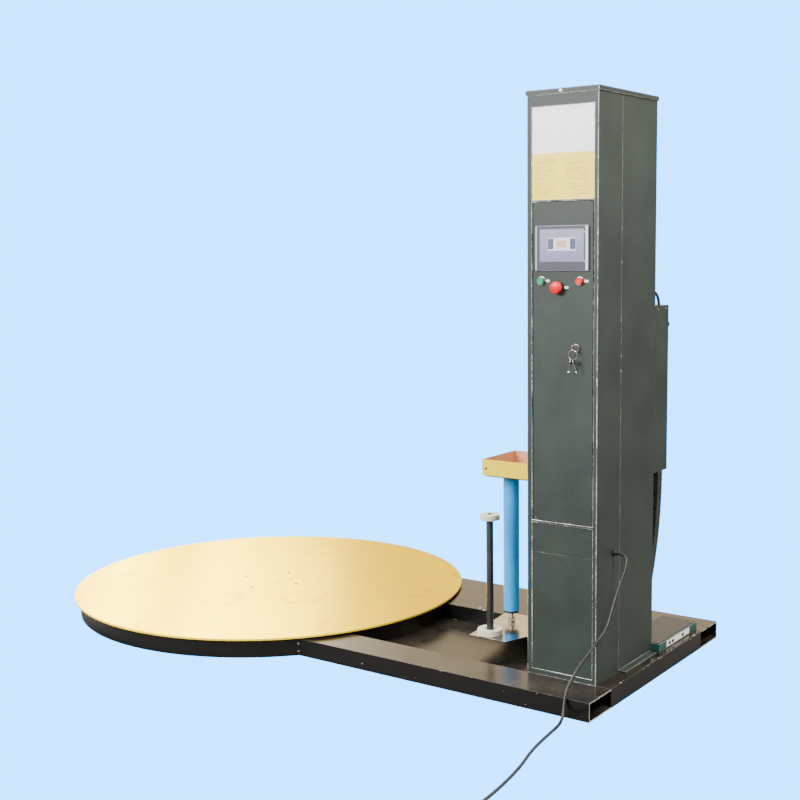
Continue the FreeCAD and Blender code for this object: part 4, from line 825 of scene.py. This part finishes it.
# The print lies in the plate's X and Z: rows of short dashes in a left and a right column.
position = add(tree, "TexCoord").outputs["Object"]
upright = add(tree, "Mapping", {"Vector": position, "Location": (-plate_low.x, -plate_low.z, 0),
                                "Rotation": (-math.pi / 2, 0, 0)})
rows = add(tree, "TexBrick", {"Vector": upright.outputs[0], "Scale": 1.0,
                              "Color1": (1, 1, 1, 1), "Color2": (1, 1, 1, 1),
                              "Mortar": (0, 0, 0, 1), "Mortar Size": 0.0016,
                              "Brick Width": 0.009, "Row Height": 0.0062}, offset=0.37)
along = add(tree, "Mapping", {"Vector": upright.outputs[0], "Scale": (34, 161, 1)})
words = add(tree, "TexNoise", {"Vector": along.outputs[0], "Scale": 1.0, "Detail": 1.0})
printed = add(tree, "Math", {0: words.outputs["Fac"], 1: 0.5}, operation="GREATER_THAN")
flat = add(tree, "SeparateXYZ", {0: upright.outputs[0]})


def between(axis, start, end):
    """A mask that is white where the plate's own X or Y lies between two distances."""
    after = add(tree, "Math", {0: flat.outputs[axis], 1: start}, operation="GREATER_THAN")
    before = add(tree, "Math", {0: flat.outputs[axis], 1: end}, operation="LESS_THAN")
    return product(tree, after.outputs[0], before.outputs[0])


columns = add(tree, "Math", {0: between("X", 0.012, 0.088), 1: between("X", 0.128, 0.205)},
              operation="ADD")
ink = add(tree, "RGBToBW", {0: rows.outputs["Color"]}).outputs[0]
strength = 0.9
for mask in (printed.outputs[0], columns.outputs[0], between("Y", 0.010, 0.13), strength):
    ink = product(tree, ink, mask)
blank = shader.inputs["Base Color"].links[0].from_socket
tree.links.new(laid_over(tree, ink, blank, (206, 128, 40)), shader.inputs["Base Color"])
plates = softened("mast_label_plates", "label", 0.0004, plate_white)
dress(plates, plate_white, print_yellow)
for face in plates.data.polygons:
    face.material_index = 1 if face.center.z < plate_low.z + yellow_height else 0

# ------------------------------------------------------------------ door
# A 6 mm framed sheet door on two pin hinges, flush in the cabinet's front, in the same paint, with
# paler edges that are partly wear and partly a painted highlight.
softened("mast_door", "green", 0.0010, hammertone, worn_and_highlit_edge)
softened("door_hinges", "zinc", 0.0006, bright_zinc)
door_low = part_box("mast_door")[0]
corner_screw = screw("door_corner_screw",
                     (door_low.x + 0.009, door_low.y + 0.0003, door_low.z + 0.006), "-y",
                     0.0028, 0.0015)
fit(corner_screw, "door", "zinc", bright_zinc)

# ------------------------------------------------------------------ operator screen
# A colour touch screen in a dark grey moulded bezel, whose rounded edges are painted paler and
# whose left and right sides carry pale strips, as a painted highlight.
# It shows a plain start page: a pale field with a picture strip of soft blocks, and two pin-head
# lamps beside it.
bezel_grey = finish_of("bezel_grey", (58, 64, 80), (50, 56, 72),
                       cloud=18, grain=500, roughness=0.38, spread=0.08, bump=0.08, depth=0.0003)
# The bezel's rounded edges are painted a pale grey-blue as a painted highlight.
bezel_edge_highlight = finish_of("bezel_edge_highlight", (150, 154, 172), (134, 138, 156),
                       cloud=18, grain=500, roughness=0.3, spread=0.08, bump=0.05, depth=0.0003)
softened("screen_housing", "bezel", 0.0022, bezel_grey, bezel_edge_highlight, segments=3)
housing_low, housing_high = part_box("screen_housing")
# Two pale strips down the bezel's left and right sides, the right one wider, are a painted
# highlight.
highlight_strips = [rounded(box("bezel_lip", (x, housing_low.y - 0.0006, housing_low.z + 0.003),
                    (x + width, housing_low.y + 0.0004, housing_high.z - 0.003)), 0.0004)
        for x, width in ((housing_low.x + 0.001, 0.0035), (housing_high.x - 0.0105, 0.0085))]
bezel_strip_highlight = finish_of("bezel_lip", (214, 218, 244), (196, 200, 228),
                       cloud=30, grain=500, roughness=0.3, spread=0.08, bump=0.05, depth=0.0003)
fit(joined("bezel_lips", *highlight_strips), "door", "bezel", bezel_strip_highlight)
glass_low, glass_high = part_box("screen_glass")
screen_page = bpy.data.materials.new("screen_page")
screen_page.use_nodes = True
tree = screen_page.node_tree
shader = tree.nodes["Principled BSDF"]
position = add(tree, "TexCoord").outputs["Object"]
apart = add(tree, "SeparateXYZ", {0: position})
fade = add(tree, "MapRange", {"Value": apart.outputs["Z"], "From Min": glass_low.z,
                              "From Max": glass_high.z})
dots = add(tree, "TexNoise", {"Vector": position, "Scale": 600.0, "Detail": 1.0})
page = add(tree, "Mix", {0: fade.outputs["Result"], 6: colour(128, 128, 168),
                         7: colour(146, 150, 178)}, data_type="RGBA")
tree.links.new(page.outputs[2], shader.inputs["Base Color"])
tree.links.new(page.outputs[2], shader.inputs["Emission Color"])
gloss = add(tree, "MapRange", {"Value": dots.outputs["Fac"], "To Min": 0.12, "To Max": 0.22})
tree.links.new(gloss.outputs["Result"], shader.inputs["Roughness"])
shader.inputs["Emission Strength"].default_value = 0.25
shader.inputs["Coat Weight"].default_value = 0.6
softened("screen_glass", "screen", 0.0003, screen_page)

slate_block = finish_of("picture_slate", (62, 66, 104), (84, 88, 126),
                        cloud=120, grain=600, roughness=0.3, spread=0.05, bump=0.02, depth=0.0002)
tan_block = finish_of("picture_tan", (196, 164, 146), (216, 192, 176),
                      cloud=160, grain=600, roughness=0.3, spread=0.05, bump=0.02, depth=0.0002)
pale_block = finish_of("picture_pale", (226, 228, 244), (210, 212, 236),
                       cloud=120, grain=600, roughness=0.3, spread=0.05, bump=0.02, depth=0.0002)
page_x, page_z = (glass_low.x + glass_high.x) / 2, (glass_low.z + glass_high.z) / 2


def page_block(name, x, z, width, height, material, lift=0.0002, corner=0.001):
    """A flat rounded block of colour on the screen's page, placed from the page's middle."""
    low = (page_x + x - width / 2, glass_low.y - lift, page_z + z - height / 2)
    high = (page_x + x + width / 2, glass_low.y + 0.0001, page_z + z + height / 2)
    block = box(name, low, high)
    finish_with(block, "BEVEL", width=corner, segments=3, limit_method="ANGLE")
    return fit(block, "door", "screen", material)


page_block("page_picture", 0, 0.003, 0.102, 0.041, pale_block)
page_block("page_left", -0.040, 0.004, 0.020, 0.034, slate_block, lift=0.0004)
page_block("page_right", 0.040, 0.004, 0.020, 0.034, slate_block, lift=0.0004)
page_block("page_centre", 0, 0.004, 0.036, 0.022, tan_block, lift=0.0004, corner=0.008)
lamps = []
for z in (1.5455, 1.4535):
    lamp = rod("screen_lamp", (1.7065, housing_low.y - 0.0007, z), 0.0021, 0.0012, "y", 20)
    lamps.append(rounded(lamp, 0.0005))
fit(joined("screen_lamps", *lamps), "door", "white", white_plastic)

# ------------------------------------------------------------------ buttons
# Green start, red stop and a red mushroom emergency stop, each in a plated collar with a
# small white legend tag fixed beside it.
plated_ring = finish_of("plated_collar", (206, 206, 204), (180, 180, 178),
                        cloud=60, grain=600, roughness=0.22, spread=0.12, bump=0.04, depth=0.0002,
                        metallic=1.0)
green_cap = finish_of("green_cap", (0, 148, 104), (0, 134, 92),
                      cloud=60, grain=500, roughness=0.32, spread=0.08, bump=0.05, depth=0.0002)
red_cap = finish_of("red_cap", (226, 4, 14), (208, 2, 10),
                    cloud=60, grain=500, roughness=0.32, spread=0.08, bump=0.05, depth=0.0002)


def push_cap(node, material, slot, mushroom):
    """A button's cap and stem: the cap is dished when flat, and domed when it is a mushroom."""
    low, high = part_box(node)
    x, z = (low.x + high.x) / 2, (low.z + high.z) / 2
    radius = (high.x - low.x) / 2
    if mushroom:
        cap = rod(node + "_made", (x, low.y + 0.005, z), radius, 0.010, "y")
        steps = ((0.16, -0.0028), (0.3, -0.0018), (0.3, -0.0004))
    else:
        cap = rod(node + "_made", (x, low.y, z), radius, 0.005, "y")
        steps = ((0.18, 0.0008),)
    pick(cap, faces_front)
    for share, move in steps:
        bpy.ops.mesh.inset(thickness=radius * share)
        bpy.ops.transform.translate(value=(0, move, 0))
    done_editing()
    rounded(cap, 0.0012, 3)
    stem_start = low.y + 0.012
    stem = rod("stem", (x, stem_start, z), 0.0079, high.y - stem_start, "y", 32)
    cap = joined(node + "_made", cap, rounded(stem, 0.0006))
    fit(cap, node, slot, material)
    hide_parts(node)
    return x, z


tags = []
for node, material, slot, mushroom, tag_gap in (
        ("start_button", green_cap, "green_cap", False, 0.0155),
        ("stop_button", red_cap, "red_cap", False, 0.0155),
        ("emergency_stop", red_cap, "red_cap", True, 0.0225)):
    x, z = push_cap(node, material, slot, mushroom)
    start = x + tag_gap
    tag = box("legend_tag", (start, door_low.y - 0.0016, z - 0.0042),
              (start + 0.015, door_low.y + 0.0002, z + 0.0042))
    tags.append(rounded(tag, 0.0007))
fit(joined("legend_tags", *tags), "door", "white", white_plastic)
softened("button_collars", "stainless", 0.0009, plated_ring)

# ------------------------------------------------------------------ lock and keys
# A plated cam lock with its key in it, and a split ring on that key with two spare keys.
softened("door_lock", "zinc", 0.0005, plated_ring)
keys_low, keys_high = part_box("hanging_keys")
ring_radius, wire_radius = 0.016, 0.001
ring_x = (keys_low.x + keys_high.x) / 2
ring_y = (keys_low.y + keys_high.y) / 2
ring_z = keys_high.z - ring_radius - wire_radius


def cut_across(piece, cuts):
    """Divides every face of a piece, so that small parts of it can be picked."""
    pick(piece, lambda centre, normal: True)
    bpy.ops.mesh.subdivide(number_cuts=cuts)
    done_editing()


bpy.ops.object.select_all(action="DESELECT")
bpy.ops.mesh.primitive_torus_add(location=(ring_x, ring_y, ring_z), rotation=(math.pi / 2, 0, 0),
                                 major_radius=ring_radius, minor_radius=wire_radius,
                                 major_segments=56, minor_segments=10)
key_parts = [seated(named("key_ring"))]
half_thickness = 0.0009
for lean in (-14, 14):
    eye_x = ring_x + 0.0173 * math.sin(math.radians(lean))
    eye_z = ring_z - 0.0173 * math.cos(math.radians(lean))
    bow = rod("key_bow", (eye_x - half_thickness, ring_y, eye_z - 0.0055), 0.0095,
              2 * half_thickness, "x", 32)
    pick(bow, lambda centre, normal: abs(normal.x) > 0.9)
    bpy.ops.mesh.inset(thickness=0.0022)
    bpy.ops.transform.resize(value=(0.55, 1, 1))
    done_editing()
    blade = box("key_blade", (eye_x - half_thickness, ring_y - 0.0035, eye_z - 0.041),
                (eye_x + half_thickness, ring_y + 0.0035, eye_z - 0.013))
    # Every other step of the blade's front edge is cut back, 2.5 mm a step.
    cut_across(blade, 7)
    pick(blade, lambda centre, normal: normal.y < -0.9 and int((centre.z - eye_z) * 400) % 2 == 0)
    bpy.ops.transform.translate(value=(0, 0.0016, 0))
    done_editing()
    key = joined("spare_key", rounded(bow, 0.0003), rounded(blade, 0.0002, 1))
    bpy.ops.transform.rotate(value=math.radians(lean), orient_axis="Y",
                             center_override=(eye_x, ring_y, eye_z))
    key_parts.append(seated(key))
keys = fit(joined("keys_made", *key_parts), "keys", "zinc", plated_ring)
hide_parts("hanging_keys")
smoothed(keys)

# ------------------------------------------------------------------ gear behind the door
# A plated mounting plate on the cabinet's rear wall with a rail of breakers, a rail of
# contactors, a speed controller and slotted wiring trunks: seen when the door is open.
softened("electrical_plate", "zinc", 0.0005, bright_zinc)
gear_low, gear_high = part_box("electrical_plate")
gear_face = gear_low.y
# How far each piece of gear reaches into the plate, so that no gap shows behind it.
seating = 0.0004
light_grey = finish_of("gear_light_grey", (206, 208, 206), (188, 190, 188),
                       cloud=30, grain=500, roughness=0.45, spread=0.1, bump=0.08, depth=0.0003)
dark_grey = finish_of("gear_dark_grey", (62, 64, 68), (48, 50, 54),
                      cloud=30, grain=500, roughness=0.45, spread=0.1, bump=0.08, depth=0.0003)
trunk_grey = finish_of("trunk_grey", (150, 156, 160), (138, 144, 148),
                       cloud=30, grain=500, roughness=0.5, spread=0.1, bump=0.05, depth=0.0003)


def gear(name, x, z, width, height, depth, material, lift=0.0):
    """A moulded case on the mounting plate, with a raised front that is dished in its middle."""
    case = box(name, (x, gear_face - depth, z), (x + width, gear_face - lift + seating, z + height))
    pick(case, faces_front)
    for rim, move in ((0.16, -0.16), (0.12, 0.048)):
        bpy.ops.mesh.inset(thickness=min(width, height) * rim)
        bpy.ops.mesh.extrude_region_move(TRANSFORM_OT_translate={"value": (0, depth * move, 0)})
    done_editing()
    return fit(rounded(case, 0.0012), "base", "black", material)


for z in (gear_low.z + 0.30, gear_low.z + 0.52):
    rail = box("din_rail", (gear_low.x + 0.012, gear_face - 0.0075, z),
               (gear_high.x - 0.012, gear_face + seating, z + 0.035))
    sunk(rail, faces_front, 0.006, 0, 0.0055, 0)
    fit(rounded(rail, 0.0006), "base", "zinc", bright_zinc)
rail_front = 0.006
start = gear_low.x + 0.018
for index, (width, material) in enumerate(((0.036, light_grey), (0.018, dark_grey),
                                           (0.045, light_grey), (0.045, dark_grey),
                                           (0.027, light_grey))):
    gear("breaker_%d" % index, start, gear_low.z + 0.275, width - 0.001, 0.085, 0.058, material,
         lift=rail_front)
    start += width + 0.003
for index in range(4):
    gear("contactor_%d" % index, gear_low.x + 0.020 + index * 0.047, gear_low.z + 0.495,
         0.045, 0.083, 0.066, dark_grey if index % 2 else light_grey, lift=rail_front)
gear("speed_controller", gear_low.x + 0.03, gear_low.z + 0.045, 0.12, 0.17, 0.09, dark_grey)
# The trunks' top and bottom sides have short fingers with a gap between them.
for z in (gear_low.z + 0.235, gear_low.z + 0.415, gear_low.z + 0.62):
    trunk = box("wiring_trunk", (gear_low.x + 0.006, gear_face - 0.05, z),
                (gear_high.x - 0.006, gear_face + seating, z + 0.025))
    cut_across(trunk, 15)
    pick(trunk, lambda centre, normal: abs(normal.z) > 0.9 and centre.y < gear_face - 0.02
         and int((centre.x - gear_low.x) * 80) % 2 == 0)
    bpy.ops.mesh.inset(thickness=0.0015, use_individual=False)
    bpy.ops.mesh.extrude_region_shrink_fatten(TRANSFORM_OT_shrink_fatten={"value": -0.002})
    done_editing()
    fit(trunk, "base", "black", trunk_grey)
for name, x in (("wiring_left", gear_low.x + 0.05), ("wiring_right", gear_low.x + 0.14)):
    bpy.ops.curve.primitive_nurbs_path_add()
    wire = named(name)
    wire.data.dimensions = "3D"
    spline = wire.data.splines[0]
    bends = ((0.20, 0.03), (0.24, 0.062), (0.27, 0.07), (0.29, 0.064), (0.33, 0.05))
    for point, (rise, depth) in zip(spline.points, bends):
        point.co = (x + rise * 0.08, gear_face - depth, gear_low.z + rise, 1)
    wire.data.bevel_depth = 0.0022
    wire.data.bevel_resolution = 3
    alone(wire)
    bpy.ops.object.convert(target="MESH")
    wire = bpy.context.object
    bpy.ops.object.shade_smooth()
    fit(wire, "base", "cord", cord_rubber)

# ------------------------------------------------------------------ lift inside the column
# Two cold-drawn guide rails, a chain over cut sprockets and a flange-mounted geared motor.
softened("guide_rails", "steel", 0.001, cut_steel)
softened("lift_top_sprocket", "steel", 0.0005, cut_steel)
softened("lift_bottom_sprocket", "steel", 0.0005, cut_steel)
softened("lift_chain", "steel", 0.0008, chain_steel)
softened("lift_gearmotor", "cast", 0.003, motor_grey)

# ------------------------------------------------------------------ film carriage
# A bent frame of painted plate with bars through the column's slots, a polished stainless
# plate at its foot, and a folded yellow tool tray on top, painted pinkish beige inside as a painted
# reflection, with settled dust.
softened("carriage_frame", "green", 0.0012, hammertone, rubbed_and_highlit_edge)
softened("carriage_shoes", "shoe", 0.0012, nylon)
polished = finish_of("polished_stainless", (196, 196, 194), (170, 168, 164),
                     cloud=14, grain=700, roughness=0.16, spread=0.12, bump=0.04, depth=0.0003,
                     metallic=1.0,
                     scuff=0.5, scuff_size=18, scuff_colour=(120, 118, 114))
softened("carriage_lower_plate", "stainless", 0.0008, polished)
tray_yellow = finish_of("tray_yellow", (250, 226, 0), (246, 216, 0),
                        cloud=8, grain=200, roughness=0.32, spread=0.1, bump=0.06, depth=0.0004,
                        coat=0.3,
                        scuff=0.3, scuff_size=14, scuff_colour=(232, 196, 20))
# Inside the tray: a pinkish beige that is a painted reflection of the surroundings, with scuffs and
# settled dust.
tray_inside_reflection_and_dust = finish_of("tray_inside_reflection_and_dust", (206, 152, 128), (226, 176, 120),
                        cloud=6, grain=200, roughness=0.4, spread=0.15, bump=0.06, depth=0.0004,
                        scuff=0.4, scuff_size=14, scuff_colour=(170, 128, 108),
                        dust=0.3)
tray = softened("carriage_tray", "yellow", 0.0009, tray_yellow, rim_yellow)
dress(tray, tray_yellow, rim_yellow, tray_inside_reflection_and_dust)
tray_low, tray_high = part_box("carriage_tray")
# The tray's inner faces take the painted reflection.
for face in tray.data.polygons:
    within = [low + 0.001 < value < high - 0.001
              for low, value, high in zip(tray_low, face.center, tray_high)]
    if all(within) and face.center.z > tray_low.z + 0.0012 and face.material_index == 0:
        face.material_index = 2
tray_screw = screw("tray_screws",
                   (tray_low.x + 0.018, tray_low.y + 0.0003, tray_low.z + 0.026), "-y",
                   0.0042, 0.0025)
fit(tray_screw, "carriage", "black", black_steel)

# ------------------------------------------------------------------ film roller and mandrel
# A tube in sky-blue speckled rubber between end collars on a plated shaft, and beside it a
# dark rod that carries a film core on a white disc, held by a white turned cap.
roller_low, roller_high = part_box("film_roller")
roller_x, roller_y = (roller_low.x + roller_high.x) / 2, (roller_low.y + roller_high.y) / 2
roller_blue = finish_of("roller_blue", (0, 148, 250), (30, 184, 255),
                        cloud=9, grain=420, roughness=0.42, spread=0.15, bump=0.2, depth=0.0005,
                        speckle=2.2,
                        scuff=0.4, scuff_size=26, scuff_colour=(90, 200, 255))
sleeve_gap = 0.008
sleeve = rod("roller_sleeve", (roller_x, roller_y, roller_low.z + sleeve_gap), 0.03,
             roller_high.z - roller_low.z - 2 * sleeve_gap, "z", 96)
rounded(sleeve, 0.0015)
collar_parts = []
for z in (roller_low.z, roller_high.z - 0.0085):
    end_collar = rod("roller_collar", (roller_x, roller_y, z), 0.0288, 0.0085, "z", 64)
    pick(end_collar, lambda centre, normal: abs(normal.z) > 0.9)
    bpy.ops.mesh.inset(thickness=0.006)
    done_editing()
    collar_parts.append(rounded(end_collar, 0.001))
fit(joined("roller_collars", *collar_parts), "film_roller", "black", moulded_black)
fit(sleeve, "film_roller", "roller", roller_blue)
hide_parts("film_roller")

shaft_low, shaft_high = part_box("roller_shaft")
shaft = rod("shaft_made", (roller_x, roller_y, shaft_low.z), 0.008,
            shaft_high.z - shaft_low.z, "z", 40)
nut = rod("shaft_nut", (roller_x, roller_y, shaft_low.z + 0.003), 0.0148, 0.013, "z", 6)
washers = [rounded(rod("washer", (roller_x, roller_y, z), radius, 0.0024, "z", 40), 0.0006)
           for z, radius in ((shaft_low.z + 0.0004, 0.0148), (shaft_low.z + 0.017, 0.0142),
                             (roller_low.z - 0.003, 0.0125))]
shaft = joined("shaft_made", rounded(shaft, 0.001), rounded(nut, 0.0008), *washers)
fit(shaft, "carriage", "zinc", bright_zinc)
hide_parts("roller_shaft")

mandrel_low, mandrel_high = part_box("mandrel_rod")
mandrel_x = (mandrel_low.x + mandrel_high.x) / 2
mandrel_y = (mandrel_low.y + mandrel_high.y) / 2
rod_paint = finish_of("mandrel_black", (40, 42, 44), (58, 60, 62),
                      cloud=10, grain=400, roughness=0.38, spread=0.15, bump=0.1, depth=0.0004,
                      scuff=0.5, scuff_size=20, scuff_colour=(110, 112, 112))
post = rod("mandrel_post", (mandrel_x, mandrel_y, mandrel_low.z), 0.013,
           mandrel_high.z - mandrel_low.z, "z", 56)
fit(rounded(post, 0.0012), "carriage", "rod", rod_paint)
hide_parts("mandrel_rod")

turned_white = finish_of("turned_white", (236, 232, 220), (222, 216, 202),
                         cloud=14, grain=500, roughness=0.38, spread=0.12, bump=0.06, depth=0.0003,
                         scuff=0.5, scuff_size=20, scuff_colour=(170, 162, 148),
                         dust=0.15)
softened("mandrel_disc", "white", 0.0022, turned_white, segments=3)
softened("mandrel_cap", "white", 0.002, turned_white, segments=3)
cap_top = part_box("mandrel_cap")[1].z
cap_screw = screw("cap_screw", (mandrel_x, mandrel_y, cap_top - 0.0006), "z", 0.007, 0.003)
fit(cap_screw, "mandrel_cap", "black", black_steel)

# ------------------------------------------------------------------ rear box and energy chain
# A long folded cable box hangs on the column's rear corner. A cable bends into its lid, and a
# black plastic energy chain loops out of its foot; every link shows its raised side plate.
softened("rear_box", "green", 0.0018, hammertone, rubbed_and_highlit_edge)
rear_low, rear_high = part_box("rear_box")
rear_screws = [screw("rear_box_screw", (rear_high.x - 0.0004, y, rear_high.z - 0.012), "x",
                     0.0042, 0.0026) for y in (rear_low.y + 0.018, rear_low.y + 0.085)]
fit(joined("rear_box_screws", *rear_screws), "base", "zinc", bright_zinc)
knob_grip = rod("knob_grip", (rear_high.x - 0.014, rear_high.y - 0.0125, rear_high.z - 0.068),
                0.0117, 0.0125, "y", 10)
sunk(knob_grip, lambda centre, normal: normal.y > 0.9, 0.003, 0, -0.001, 0)
fit(rounded(knob_grip, 0.0015, 3), "base", "black", moulded_black)
smoothed(softened("cable_loop", "cord", 0.0002, cord_rubber), 60)

chain_plastic = finish_of("chain_plastic", (26, 27, 28), (40, 41, 42),
                          cloud=20, grain=600, roughness=0.42, spread=0.15, bump=0.15,
                          depth=0.0003,
                          dust=0.2, dust_size=10)
alone(softened("drag_chain", "black", 0.0016, chain_plastic))
bpy.ops.object.duplicate()
side_plates = named("chain_side_plates")
for key in list(side_plates.keys()):
    if key.startswith("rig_"):
        del side_plates[key]
# Only the flat sides of the links are kept, each drawn in and thickened.
pick(side_plates, lambda centre, normal: abs(normal.y) < 0.999)
bpy.ops.mesh.delete(type="FACE")
bpy.ops.mesh.select_all(action="SELECT")
bpy.ops.mesh.inset(thickness=0.0055, use_individual=True)
bpy.ops.mesh.select_all(action="INVERT")
bpy.ops.mesh.delete(type="FACE")
bpy.ops.mesh.select_all(action="SELECT")
bpy.ops.mesh.extrude_region_shrink_fatten(TRANSFORM_OT_shrink_fatten={"value": 0.0014})
done_editing()
fit(rounded(side_plates, 0.0005), "base", "black", chain_plastic)

# ------------------------------------------------------------------ terminal box
# A flat teal-green sheet box on the deck behind the mast with a black rubber strip along its
# lid, two lid screws and a plain white plate with three dark blocks on its right side.
terminal_green = finish_of("terminal_green", (34, 88, 84), (26, 72, 70),
                           cloud=8, grain=260, roughness=0.42, spread=0.12, bump=0.2, depth=0.0005,
                           speckle=1.0,
                           scuff=0.2)
softened("foot_box", "green", 0.0015, terminal_green, rubbed_and_highlit_edge)
foot_low, foot_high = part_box("foot_box")
strip = box("lid_strip", (foot_low.x + 0.004, foot_low.y + 0.004, foot_high.z - 0.0006),
            (foot_high.x - 0.004, foot_high.y - 0.004, foot_high.z + 0.002))
fit(rounded(strip, 0.001), "base", "black", moulded_black)
side = foot_high.x
plate = box("terminal_plate", (side - 0.0004, 0.118, foot_low.z + 0.004),
            (side + 0.0007, 0.318, foot_high.z - 0.004))
fit(rounded(plate, 0.0004), "base", "label", plate_white)
blocks = []
for start in (0.135, 0.163, 0.250):
    block = box("plate_block", (side + 0.0004, start, foot_low.z + 0.009),
                (side + 0.0011, start + 0.018, foot_high.z - 0.010))
    blocks.append(rounded(block, 0.0003))
fit(joined("plate_blocks", *blocks), "base", "black", moulded_black)
lid_screws = [screw("lid_screw", (foot_high.x - 0.012, y, foot_high.z + 0.0016), "z", 0.0035, 0.002)
              for y in (foot_low.y + 0.02, foot_high.y - 0.02)]
fit(joined("lid_screws", *lid_screws), "base", "zinc", bright_zinc)
